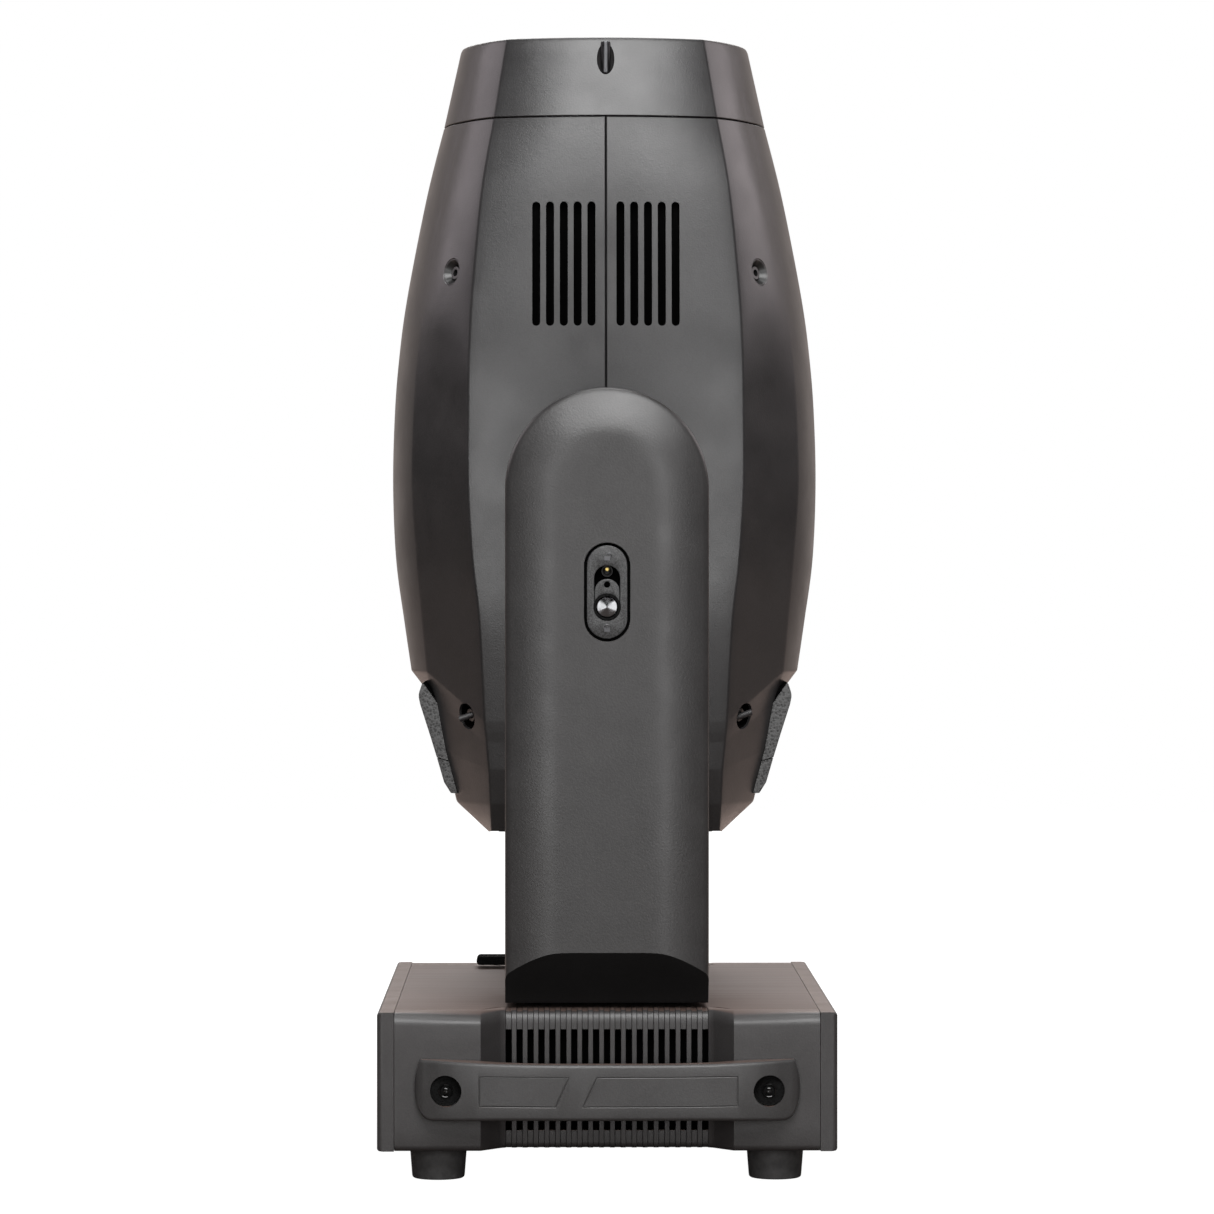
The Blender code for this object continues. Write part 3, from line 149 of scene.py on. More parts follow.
class Look:
    """A node material on a Principled shader, built up a layer at a time."""

    def __init__(self, name, colour, roughness, metallic=0.0):
        self.material = bpy.data.materials.new(name)
        self.material.use_nodes = True
        self.tree = self.material.node_tree
        self.nodes, self.links = self.tree.nodes, self.tree.links
        self.shader = self.nodes["Principled BSDF"]
        self.colour = colour
        self.shader.inputs["Base Color"].default_value = (*colour, 1.0)
        self.shader.inputs["Roughness"].default_value = roughness
        self.shader.inputs["Metallic"].default_value = metallic
        self.place = self.nodes.new("ShaderNodeTexCoord").outputs["Object"]

    def stretched(self, scale):
        mapping = new_node(self.nodes, "ShaderNodeMapping", scale=scale)
        self.links.new(self.place, mapping.inputs["Vector"])
        return mapping.outputs["Vector"]

    def noise(self, scale, detail=3.0, stretch=None, roughness=0.5):
        made = new_node(self.nodes, "ShaderNodeTexNoise", scale=scale, detail=detail, roughness=roughness)
        self.links.new(self.stretched(stretch) if stretch else self.place, made.inputs["Vector"])
        return made.outputs["Fac"]

    def cells(self, scale):
        made = new_node(self.nodes, "ShaderNodeTexVoronoi", scale=scale)
        self.links.new(self.place, made.inputs["Vector"])
        return made.outputs["Distance"]

    def spread(self, value, low, high, start=0.3, end=0.7):
        return mapped(self.tree, value, start, end, low, high)

    def tint(self, value, dark, light):
        """Mixes the base colour between two multiples of itself."""
        mix = self.nodes.new("ShaderNodeMix")
        mix.data_type = "RGBA"
        mix.inputs["A"].default_value = (*(min(c * dark, 1) for c in self.colour), 1)
        mix.inputs["B"].default_value = (*(min(c * light, 1) for c in self.colour), 1)
        self.links.new(value, mix.inputs["Factor"])
        self.links.new(mix.outputs["Result"], self.shader.inputs["Base Color"])
        return self

    def rough(self, value):
        self.links.new(value, self.shader.inputs["Roughness"])
        return self

    def painted_top_light(self, colour, low, high):
        """Blends in another colour where the surface looks up: painted light on top faces."""
        normal = self.nodes.new("ShaderNodeNewGeometry").outputs["Normal"]
        share = mapped(self.tree, split_axes(self.tree, normal)["Z"], low, high, 0.0, 1.0, smooth=True)
        mix = self.nodes.new("ShaderNodeMix")
        mix.data_type = "RGBA"
        base = self.shader.inputs["Base Color"]
        self.links.new(share, mix.inputs["Factor"])
        self.links.new(base.links[0].from_socket, mix.inputs["A"])
        mix.inputs["B"].default_value = (*colour, 1.0)
        self.links.new(mix.outputs["Result"], base)
        return self

    def bump(self, value, depth, strength=1.0):
        """Adds a height, in metres, over any bump that is already there."""
        made = new_node(self.nodes, "ShaderNodeBump", distance=depth, strength=strength)
        self.links.new(value, made.inputs["Height"])
        normal = self.shader.inputs["Normal"]
        if normal.is_linked:
            self.links.new(normal.links[0].from_socket, made.inputs["Normal"])
        self.links.new(made.outputs["Normal"], normal)
        return self

    def add(self, first, second, share=0.5):
        made = self.nodes.new("ShaderNodeMix")
        made.data_type = "FLOAT"
        made.inputs["Factor"].default_value = share
        self.links.new(first, made.inputs["A"])
        self.links.new(second, made.inputs["B"])
        return made.outputs["Result"]


def moulded(name, colour, roughness, grain=1100.0, depth=0.00007, top=None, shine=0.5):
    """Moulded plastic with a fine spark-eroded grain and a faint mottle. Some has painted light on top: the
    top plate's brown, blended in where the surface faces up.
    """
    look = Look(name, colour, roughness)
    fine = look.noise(grain, 2.0)
    broad = look.noise(55.0, 5.0, roughness=0.65)
    look.tint(look.spread(look.add(fine, broad, 0.45), 0.0, 1.0, 0.38, 0.62), 0.86, 1.16)
    look.rough(look.spread(look.noise(38.0, 4.0), roughness - 0.045, roughness + 0.045))
    look.shader.inputs["Specular IOR Level"].default_value = shine
    if top:
        look.painted_top_light(top, 0.90, 0.998)
    look.bump(look.noise(190.0, 3.0), 0.00010, 0.35)
    look.bump(fine, depth, 0.8)
    return look.material


def brushed(name, colour, roughness, direction, metallic=0.35):
    """Painted or bare metal with long streaks along one axis."""
    look = Look(name, colour, roughness, metallic)
    streak = tuple(6.0 if k == direction else 260.0 for k in range(3))
    fine = look.noise(1.0, 4.0, streak, 0.7)
    broad = look.noise(1.0, 3.0, tuple(s * 0.16 for s in streak), 0.6)
    look.tint(look.spread(look.add(fine, broad, 0.5), 0.0, 1.0, 0.35, 0.65), 0.84, 1.18)
    look.rough(look.spread(fine, roughness - 0.06, roughness + 0.06))
    look.bump(fine, 0.00005, 0.5)
    return look.material


def machined(name, colour, roughness):
    look = Look(name, colour, roughness, 1.0)
    fine = look.noise(420.0, 4.0)
    look.tint(look.spread(look.noise(24.0, 4.0), 0.0, 1.0), 0.86, 1.08)
    look.rough(look.spread(fine, roughness - 0.07, roughness + 0.09))
    look.bump(fine, 0.00003, 0.5)
    return look.material


def glossy(name, colour, roughness):
    look = Look(name, colour, roughness)
    look.tint(look.spread(look.noise(90.0, 4.0), 0.0, 1.0), 0.8, 1.25)
    look.rough(look.spread(look.noise(160.0, 4.0), roughness - 0.04, roughness + 0.06))
    look.bump(look.noise(260.0, 2.0), 0.00002, 0.4)
    return look.material


def rubbery(name, colour):
    look = Look(name, colour, 0.72)
    look.tint(look.spread(look.noise(240.0, 5.0), 0.0, 1.0), 0.75, 1.3)
    look.rough(look.spread(look.noise(70.0, 3.0), 0.62, 0.82))
    look.bump(look.noise(700.0, 3.0), 0.00012, 0.7)
    return look.material


def filter_mesh(name, colour):
    """A coarse open filter, pitted all over."""
    look = Look(name, colour, 0.78)
    pits = look.cells(620.0)
    look.tint(look.spread(pits, 0.0, 1.0, 0.1, 0.6), 0.35, 1.45)
    look.bump(pits, 0.0005, 0.9)
    return look.material


def glass(name, colour, roughness=0.02):
    look = Look(name, colour, roughness)
    look.shader.inputs["Transmission Weight"].default_value = 1.0
    look.shader.inputs["IOR"].default_value = 1.5
    look.rough(look.spread(look.noise(30.0, 3.0), roughness, roughness + 0.03))
    return look.material


def printed(name, colour):
    """Satin ink."""
    look = Look(name, colour, 0.6)
    look.tint(look.spread(look.noise(500.0, 3.0), 0.0, 1.0), 0.85, 1.15)
    look.bump(look.noise(900.0, 2.0), 0.00003, 0.5)
    return look.material


def painted_shade_and_dull_trim(name, colour):
    """Dull black with a faint weave: painted shade that hides what is behind an opening, and also dull
    black trim.
    """
    look = Look(name, colour, 0.95)
    look.shader.inputs["Specular IOR Level"].default_value = 0.04
    look.tint(look.spread(look.cells(900.0), 0.0, 1.0, 0.1, 0.6), 0.6, 1.6)
    look.bump(look.noise(1200.0, 2.0), 0.00005, 0.4)
    return look.material


def speckled(name, colour, roughness):
    """Hard coated plastic with a coarse sparkle."""
    look = Look(name, colour, roughness)
    grain = look.noise(1400.0, 1.0)
    look.tint(look.spread(grain, 0.0, 1.0, 0.40, 0.62), 0.30, 2.4)
    look.bump(look.noise(1500.0, 1.0), 0.00012, 0.8)
    return look.material


HOUSING_GREY = (0.018, 0.0173, 0.0177)
# The top plate's brown. It is also blended onto upward faces of the base and handle plastic as painted
# light on top.
TOP_BROWN = (0.076, 0.052, 0.044)
MATERIALS = {
    "head": moulded("head_plastic", HOUSING_GREY, 0.325),
    "arm": moulded("arm_plastic", (0.021, 0.020, 0.020), 0.38, 900.0, 0.00010),
    # The base and handle plastic take painted light on their top faces, in the top plate's brown.
    "base": moulded("base_plastic", (0.0255, 0.0238, 0.0238), 0.42, top=TOP_BROWN),
    "handle": moulded("handle_plastic", (0.032, 0.031, 0.031), 0.40, top=TOP_BROWN),
    "black": moulded("black_plastic_grain", (0.0040, 0.0040, 0.0042), 0.46, shine=0.25),
    # The void look is painted shade: near-black for the shade behind openings and in gaps.
    "void": painted_shade_and_dull_trim("painted_shade_cloth", (0.0006, 0.0006, 0.0006)),
    "plate": speckled("lock_plate_grain", (0.0125, 0.0125, 0.0130), 0.42),
    "inner": moulded("inner_plastic", (0.020, 0.019, 0.020), 0.48),
    "top": brushed("base_top_paint", TOP_BROWN, 0.56, 0, 0.0),
    "tray": brushed("tray_paint", (0.055, 0.053, 0.052), 0.5, 1, 0.2),
    "gloss_black": glossy("gloss_black", (0.004, 0.004, 0.004), 0.13),
    "dull_black": painted_shade_and_dull_trim("dull_black", (0.0045, 0.0045, 0.0045)),
    "satin_black": glossy("satin_black", (0.008, 0.008, 0.008), 0.34),
    "rubber": rubbery("foot_rubber", (0.033, 0.032, 0.032)),
    "steel": machined("machined_steel", (0.50, 0.50, 0.51), 0.28),
    "dark_steel": machined("blackened_steel", (0.10, 0.10, 0.105), 0.34),
    "aluminium": machined("cut_aluminium", (0.60, 0.61, 0.62), 0.36),
    "polished": machined("polished_steel", (0.15, 0.15, 0.155), 0.15),
    "brass": machined("brass", (0.62, 0.47, 0.16), 0.3),
    "filter": filter_mesh("intake_filter", (0.058, 0.058, 0.058)),
    "glass": glass("lens_glass", (0.94, 0.97, 0.98)),
    "coated": glass("coated_glass", (0.55, 0.72, 0.85), 0.04),
    "screen": glossy("display_glass", (0.006, 0.010, 0.016), 0.09),
    "ink": printed("pale_ink", (0.55, 0.55, 0.54)),
    "blue": glossy("connector_blue_plastic", (0.015, 0.055, 0.30), 0.3),
}


# ---------------------------------------------------------------- making pieces
def object_of(name, bm, *looks):
    """An object with this mesh as it stands. Its materials are among MATERIALS."""
    mesh = bpy.data.meshes.new(name)
    bm.to_mesh(mesh)
    bm.free()
    obj = bpy.data.objects.new(name, mesh)
    bpy.context.scene.collection.objects.link(obj)
    for look in looks:
        mesh.materials.append(MATERIALS[look])
    return obj


def placed(name, bm, look=None):
    """An object with this mesh, its faces turned outwards."""
    bmesh.ops.recalc_face_normals(bm, faces=bm.faces)
    return object_of(name, bm, *([look] if look else []))


def finished(obj, body, slot, *nodes, angle=SHARP_ANGLE):
    """Ends a piece: smooth faces, the body that it rides on, and what it replaces. Its slot is not used."""
    obj.data.shade_smooth()
    obj.data.set_sharp_from_angle(angle=math.radians(angle))
    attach(obj, body)
    if nodes:
        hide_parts(*nodes)
    return obj


def applied(obj):
    """Turns an object's modifiers into its mesh."""
    bpy.context.view_layer.update()
    evaluated = obj.evaluated_get(bpy.context.evaluated_depsgraph_get())
    mesh = bpy.data.meshes.new_from_object(evaluated)
    obj.modifiers.clear()
    obj.data = mesh
    return obj


def combined(obj, other, operation="DIFFERENCE"):
    modifier = obj.modifiers.new("combine", "BOOLEAN")
    modifier.operation = operation
    modifier.solver = "EXACT"
    modifier.object = other
    applied(obj)
    bpy.data.objects.remove(other)
    return obj


def thickened(obj, thickness):
    modifier = obj.modifiers.new("wall", "SOLIDIFY")
    modifier.thickness = thickness
    modifier.offset = -1
    modifier.use_even_offset = True
    return applied(obj)


def softened(obj, width):
    """Bevels the sharp edges."""
    modifier = obj.modifiers.new("soft_edges", "BEVEL")
    modifier.width = width
    modifier.segments = 2
    modifier.limit_method = "ANGLE"
    modifier.angle_limit = math.radians(SHARP_ANGLE)
    modifier.harden_normals = False
    return applied(obj)


def joined(bm, upper, lower, closed=True):
    """Quads between two rows of vertices."""
    count = len(upper)
    for k in range(count if closed else count - 1):
        after = (k + 1) % count
        bm.faces.new((upper[k], upper[after], lower[after], lower[k]))


def skin(bm, rows, closed=False):
    """Joins rows of points with quads and returns the rows of vertices."""
    rows = [[bm.verts.new(point) for point in row] for row in rows]
    for upper, lower in zip(rows, rows[1:]):
        joined(bm, upper, lower, closed)
    return rows


def skinned_out(name, rows, inside, look):
    """An open surface whose faces point away from a point behind it."""
    bm = bmesh.new()
    skin(bm, rows)
    bmesh.ops.recalc_face_normals(bm, faces=bm.faces)
    bm.normal_update()
    inside = Vector(inside)
    facing = sum((f.calc_center_median() - inside).dot(f.normal) * f.calc_area() for f in bm.faces)
    if facing < 0:
        bmesh.ops.reverse_faces(bm, faces=bm.faces)
    return object_of(name, bm, look)


def lofted(name, rings, look):
    """A closed solid through closed rings of points, with flat ends."""
    bm = bmesh.new()
    rows = skin(bm, rings, closed=True)
    bm.faces.new(rows[0])
    bm.faces.new(rows[-1])
    return placed(name, bm, look)


def hooped(name, rings, look):
    """A closed ring-shaped solid: its last ring of points joins its first."""
    bm = bmesh.new()
    rows = skin(bm, rings, closed=True)
    joined(bm, rows[-1], rows[0])
    return placed(name, bm, look)


AXES = {
    "Z": Matrix.Identity(4),
    "-Z": Matrix.Rotation(math.pi, 4, "X"),
    "X": Matrix.Rotation(math.pi / 2, 4, "Y"),
    "-X": Matrix.Rotation(-math.pi / 2, 4, "Y"),
    "Y": Matrix.Rotation(-math.pi / 2, 4, "X"),
    "-Y": Matrix.Rotation(math.pi / 2, 4, "X"),
}


def turned(name, profile, at, axis="Z", look=None, steps=48, turn=None):
    """A turned solid. The profile's points are (radius, height) and start and end on the axis,
    or form a closed loop off it. The height runs along the axis from the point at."""
    matrix = Matrix.Translation(at) @ (turn if turn is not None else AXES[axis])
    on_axis = profile[0][0] == 0 and profile[-1][0] == 0
    bm = bmesh.new()
    inner = profile[1:-1] if on_axis else profile
    rings = []
    for radius, height in inner:
        rings.append([matrix @ Vector((x, y, height)) for x, y in circle(radius, steps)])
    rows = skin(bm, rings, closed=True)
    if on_axis:
        for row, (_, height) in ((rows[0], profile[0]), (rows[-1], profile[-1])):
            tip = bm.verts.new(matrix @ Vector((0, 0, height)))
            for k in range(steps):
                bm.faces.new((row[k], row[(k + 1) % steps], tip))
    else:
        joined(bm, rows[-1], rows[0])
    return placed(name, bm, look)


def drum(name, radius, high, low, at, axis="Z", look=None, steps=48):
    """A plain cylinder between two heights along its axis."""
    return turned(name, [(0, high), (radius, high), (radius, low), (0, low)], at, axis, look, steps)


def prism(name, outline, low, high, plane="XY", look=None):
    """A flat outline, extruded from low to high along the axis that its plane lacks."""
    order = {"XY": (0, 1, 2), "XZ": (0, 2, 1), "YZ": (1, 2, 0)}[plane]
    rings = []
    for depth in (low, high):
        ring = []
        for u, v in outline:
            point = [0.0, 0.0, 0.0]
            for axis, value in zip(order, (u, v, depth)):
                point[axis] = value
            ring.append(point)
        rings.append(ring)
    return lofted(name, rings, look)


def block(name, low, high, look=None):
    outline = [(low[0], low[1]), (high[0], low[1]), (high[0], high[1]), (low[0], high[1])]
    return prism(name, outline, low[2], high[2], look=look)


def merged(name, objects, look=None):
    """One object with the meshes of several, which don't touch."""
    bm = bmesh.new()
    for obj in objects:
        bm.from_mesh(obj.data)
        bpy.data.objects.remove(obj)
    return placed(name, bm, look)


def circle(radius, steps):
    angles = [2 * math.pi * k / steps for k in range(steps)]
    return [(radius * math.cos(a), radius * math.sin(a)) for a in angles]


def quarter_turn(steps):
    """Pairs of 1 - cos and 1 - sin from 0 to 90 degrees, for a rounded edge."""
    angles = [math.pi / 2 * k / steps for k in range(steps + 1)]
    return [(1 - math.cos(a), 1 - math.sin(a)) for a in angles]


def stadium(half_u, half_v, centre, steps):
    """An upright oval: straight sides with a half circle at each end."""
    points = []
    for end, first in ((1, 0.0), (-1, math.pi)):
        for k in range(steps + 1):
            a = first + math.pi * k / steps
            u = centre[0] + half_u * math.cos(a)
            points.append((u, centre[1] + end * (half_v - half_u) + half_u * math.sin(a)))
    return points


def rounded_box(half_u, half_v, radius, centre):
    points, steps = [], 6
    for sign_u, sign_v, first in ((1, 1, 0), (-1, 1, 1), (-1, -1, 2), (1, -1, 3)):
        for k in range(steps + 1):
            a = math.pi / 2 * (first + k / steps)
            u = sign_u * (half_u - radius) + radius * math.cos(a)
            v = sign_v * (half_v - radius) + radius * math.sin(a)
            points.append((centre[0] + u, centre[1] + v))
    return points


def wire(name, points, radius, look=None, cyclic=False, sides=8):
    """A thin round bar along points, as a mesh."""
    curve = bpy.data.curves.new(name, "CURVE")
    curve.dimensions = "3D"
    curve.bevel_depth = radius
    curve.bevel_resolution = max(sides // 4, 1)
    curve.use_fill_caps = True
    spline = curve.splines.new("POLY")
    spline.points.add(len(points) - 1)
    for target, point in zip(spline.points, points):
        target.co = (*point, 1.0)
    spline.use_cyclic_u = cyclic
    shape = bpy.data.objects.new(name, curve)
    bpy.context.scene.collection.objects.link(shape)
    bpy.context.view_layer.update()
    evaluated = shape.evaluated_get(bpy.context.evaluated_depsgraph_get())
    mesh = bpy.data.meshes.new_from_object(evaluated)
    bpy.data.objects.remove(shape)
    bm = bmesh.new()
    bm.from_mesh(mesh)
    bmesh.ops.remove_doubles(bm, verts=bm.verts, dist=radius * 0.01)
    return placed(name, bm, look)


def screw_profile(radius, height):
    """A cap screw's head with a chamfered rim and a hexagon socket's round mouth."""
    rim = radius * 0.12
    mouth = radius * 0.5
    return [
        (0, height * 0.35),
        (mouth * 0.9, height * 0.35),
        (mouth, height),
        (radius - rim, height),
        (radius, height - rim),
        (radius, 0),
        (0, 0),
    ]


def screws(name, spots, radius, height, axis, body):
    """Numbered cap screws at these points, on one body."""
    for k, spot in enumerate(spots):
        screw = turned(f"{name}_{k}", screw_profile(radius, height), spot, axis, "dark_steel", SCREW_STEPS)
        finished(screw, body, "steel")


def span(side, first, second):
    """Two distances to one side along Y, as a low and a high Y."""
    return sorted((side * first, side * second))


def axis_out(side):
    """The word for the axis that points away from the middle on this side."""
    return "Y" if side > 0 else "-Y"


def corners(x, y):
    return (x, y), (-x, y), (x, -y), (-x, -y)


# ---------------------------------------------------------------- head
def lerp(a, b, t):
    return tuple(x + (y - x) * t for x, y in zip(a, b))


def bezier(a, corner, b, t):
    return lerp(lerp(a, corner, t), lerp(corner, b, t), t)


def catmull(before, a, b, after, t):
    """A smooth curve from a to b, which leaves and arrives along their neighbours' directions."""
    return tuple(
        0.5 * (2 * q + (r - p) * t + (2 * p - 5 * q + 4 * r - s) * t**2 + (3 * q - p - 3 * r + s) * t**3)
        for p, q, r, s in zip(before, a, b, after)
    )


def head_rows():
    """Sections of the shells, close together: smooth down to the crease, then straight facets
    with soft corners."""
    edge = lerp(HEAD_SECTIONS[1], HEAD_SECTIONS[2], 0.005)
    first = lerp(HEAD_SECTIONS[1], HEAD_SECTIONS[2], 0.016)
    upper = [first, *HEAD_SECTIONS[2 : CREASE_SECTION + 1]]
    rows = [(*edge[:3], *(value - SEAM_BEVEL for value in edge[3:9]), edge[9])]
    for k in range(len(upper) - 1):
        before = upper[max(k - 1, 0)]
        after = upper[min(k + 2, len(upper) - 1)]
        for step in range(10):
            rows.append(catmull(before, upper[k], upper[k + 1], after, step / 10))
    facets = HEAD_SECTIONS[CREASE_SECTION - 1 :]
    for k in range(1, len(facets) - 1):
        fall = abs(facets[k + 1][2] - facets[k][2])
        share_down = min(0.0012 / fall, 0.4)
        share_up = min(0.0012 / abs(facets[k][2] - facets[k - 1][2]), 0.4)
        start = lerp(facets[k], facets[k - 1], share_up)
        end = lerp(facets[k], facets[k + 1], share_down)
        if k == 1:
            start = lerp(facets[k], rows[-1], 0.25)
        rows += [bezier(start, facets[k], end, t / 4) for t in range(5)]
        reach = lerp(facets[k], facets[k + 1], 1 - share_down)
        rows += [lerp(end, reach, t / 3) for t in (1, 2)]
    rows.append(HEAD_SECTIONS[-1])
    return rows


def quarter_curve(section):
    """One section's points from the crown of a side panel to the middle of the +X side, with its
    two edges rounded."""
    panel_z, edge_z, side_z, crown, panel_x, panel_y, edge_x, edge_y, side_x, roundness = section
    round_p, round_q = 0.0011, 0.0016

    def panel(t):
        return (panel_x * t, crown - (crown - panel_y) * t * t, panel_z)

    chord = Vector((edge_x - panel_x, edge_y - panel_y))
    outward = Vector((-chord.y, chord.x)).normalized()
    bulge = roundness * chord.length_squared / (8 * side_x)

    def flank(t):
        point = Vector((panel_x, panel_y)) + chord * t + outward * bulge * 4 * t * (1 - t)
        return (point.x, point.y, panel_z + (edge_z - panel_z) * t)

    def side(t):
        y = edge_y * (1 - t)
        x = side_x - (side_x - edge_x) * (1 - t) ** 2
        return (x, y, edge_z + (side_z - edge_z) * t)

    cut_panel = 1 - round_p / panel_x
    cut_flank = round_p / chord.length
    cut_edge = 1 - round_q / chord.length
    cut_side = round_q / edge_y
    points = [panel(cut_panel * k / 14) for k in range(14)]
    points += [bezier(panel(cut_panel), panel(1), flank(cut_flank), t / 4) for t in range(5)]
    steps = 9
    points += [flank(cut_flank + (cut_edge - cut_flank) * k / steps) for k in range(1, steps)]
    points += [bezier(flank(cut_edge), flank(1), side(cut_side), t / 4) for t in range(5)]
    points += [side(cut_side + (1 - cut_side) * k / 8) for k in range(1, 9)]
    return points


def half_curve(section, hand):
    """One section of a half shell, from the near seam round its middle to the far seam."""
    quarter = quarter_curve(section)
    _, crown, z = quarter[0]
    corner = SEAM_HALF_GAP + SEAM_BEVEL
    quarter[:1] = [(SEAM_HALF_GAP, crown - SEAM_BEVEL, z), (corner, crown, z)]
    near = [(hand * x, -y, z) for x, y, z in quarter]
    far = [(hand * x, y, z) for x, y, z in quarter[-2::-1]]
    return near + far


def surface_at(rows, x, z, side):
    """The point of the head's surface at this X and Z on one side of Y, and its normal."""
    best = None
    for i in range(1, len(rows) - 1):
        for j in range(1, len(rows[i]) - 1):
            px, py, pz = rows[i][j]
            if py * side > 0:
                miss = (px - x) ** 2 + (pz - z) ** 2
                if best is None or miss < best[0]:
                    best = (miss, i, j)
    _, i, j = best
    along = Vector(rows[i][j + 1]) - Vector(rows[i][j - 1])
    down = Vector(rows[i + 1][j]) - Vector(rows[i - 1][j])
    normal = along.cross(down).normalized()
    point = Vector(rows[i][j])
    if normal.dot(Vector((point.x, point.y, 0))) < 0:
        normal = -normal
    return Vector((x, point.y, z)), normal


def well_cutters(level, radius, inner, turn):
    """A well's wall, to be added to a shell, and then its hole, to be cut."""
    wall = radius + 0.0014
    plug = [(0, 0.0080), (wall, 0.0080), (wall, 0), (0, 0)]
    hole = [(0, 0.016), (radius + 0.0030, 0.016), (radius, 0.0095)]
    hole.append((radius - 0.0032, 0.0048) if level == "upper" else (radius - 0.0002, 0.0085))
    hole += [(hole[-1][0] - 0.0002, 0.0016), (0, 0.0016)]
    return (turned("plug", plug, inner, steps=32, turn=turn),
            turned("hole", hole, inner, steps=40, turn=turn))


def well_trim(level, name, radius, inner, normal, turn):
    """What lines a well: a shaded cone in an upper one; in a lower one, a black cup of painted shade with a
    bar across.
    """
    if level == "upper":
        cup = [(0, 0.0018), (radius - 0.0036, 0.0018), (radius - 0.0036, 0.0048)]
        cup += [(radius - 0.0006, 0.0090), (radius - 0.0010, 0.0090)]
        cup += [(radius - 0.0041, 0.0050), (radius - 0.0041, 0.0024), (0, 0.0024)]
        return [turned(f"well_cone_{name}", cup, inner, "Z", "satin_black", 64, turn)]
    lined = radius - 0.0005
    cup = [(0, 0.0018), (lined, 0.0018), (lined, 0.0078), (lined - 0.0005, 0.0078)]
    cup += [(lined - 0.0005, 0.0024), (0, 0.0024)]
    reach = Vector((lined * 0.8, 0, lined * 0.28))
    bar = [inner + normal * 0.0074 + reach * way for way in (-1, 1)]
    return [turned(f"well_painted_shade_{name}", cup, inner, "Z", "void", 40, turn),
            wire(f"well_bar_{name}", bar, 0.0018, "inner", sides=16)]


def head_shell(word, hand):
    rows = [half_curve(section, hand) for section in head_rows()]
    shell = skinned_out(f"shell_{word}", rows, HEAD_MIDDLE, "head")
    thickened(shell, SHELL_WALL)
    plugs, cuts, heads, trims = [], [], [], []
    for side_word, side in SIDES:
        name = f"{word}_{side_word}"
        for level, x, z, radius in WELLS:
            point, normal = surface_at(rows, hand * x, z, side)
            turn = normal.to_track_quat("Z", "Y").to_matrix().to_4x4()
            inner = point - normal * WELL_DEPTH
            plug, hole = well_cutters(level, radius, inner, turn)
            plugs.append(plug)
            cuts.append(hole)
            trims += well_trim(level, name, radius, inner, normal, turn)
            title, at = f"shell_screw_{name}_{level}", inner + normal * 0.0025
            profile = screw_profile(0.0042, 0.0040)
            heads.append(turned(title, profile, at, "Z", "satin_black", SCREW_STEPS, turn))
        for k in range(HEAD_VENT_COUNT):
            x = hand * (HEAD_VENT_FIRST_X + k * HEAD_VENT_PITCH)
            vent = stadium(HEAD_VENT_HALF_X, HEAD_VENT_HALF_Z, (x, HEAD_VENT_Z), 8)
            cuts.append(prism("vent", vent, *span(side, 0.080, 0.110), plane="XZ"))
    combined(shell, merged("plugs", plugs), "UNION")
    combined(shell, merged("cuts", cuts))
    hub_hole(shell)
    finished(shell, "head", "housing", f"head_shell_{word}")
    for screw in heads:
        finished(screw, "head", "steel")
    for trim in trims:
        finished(trim, "head", "black_plastic")


def hub_hole(obj):
    """Cuts the round hole that the tilt hubs pass through."""
    combined(obj, drum("hub_hole", HUB_HOLE_RADIUS, 0.13, -0.13, (0, 0, TILT_Z), "Y"))


def shade_behind_seams():
    """Black strips of painted shade behind the seam between the shells, and a ring of painted shade behind
    the front ring's seam.
    """
    sections = [section for section in head_rows() if section[0] > 0.197]
    for word, side in SIDES:
        rows = []
        for section in sections:
            y = side * (section[3] - SHELL_WALL - 0.0006)
            rows.append([(x, y, section[0]) for x in (-0.0040, -0.0013, 0.0013, 0.0040)])
        strip = thickened(skinned_out(f"seam_painted_shade_{word}", rows, HEAD_MIDDLE, "void"), SHADE_SHEET)
        hub_hole(strip)
        finished(strip, "head", "black_plastic")
    rings = []
    for inset, z in ((0.0034, 0.6045), (0.0034, 0.6101), (0.0044, 0.6101), (0.0044, 0.6045)):
        rings.append(bezel_outline(HEAD_SECTIONS[1], inset, z))
    finished(hooped("bezel_gap_shade", rings, "void"), "head", "black_plastic")


def shade_behind_vents():
    """Black sheets of painted shade behind the side panels' vents."""
    for word, side in SIDES:
        rows = []
        for k in range(13):
            x = -0.047 + 0.094 * k / 12
            rows.append([(x, side * 0.0880, 0.480 + 0.088 * j / 8) for j in range(9)])
        screen = skinned_out(f"vent_painted_shade_{word}", rows, (0, 0, 0.52), "void")
        finished(thickened(screen, SHADE_SHEET), "head", "black_plastic")


def bezel_outline(section, inset=0.0, z=None):
    """A whole closed section of the head, drawn in by inset towards its middle."""
    quarter = quarter_curve(section)
    right = [(x, -y, h) for x, y, h in quarter] + [(x, y, h) for x, y, h in quarter[-2::-1]]
    left = [(-x, y, h) for x, y, h in right[-2:0:-1]]
    points = []
    for x, y, h in right + left:
        length = math.hypot(x, y)
        share = (length - inset) / length
        points.append((x * share, y * share, h if z is None else z))
    return points


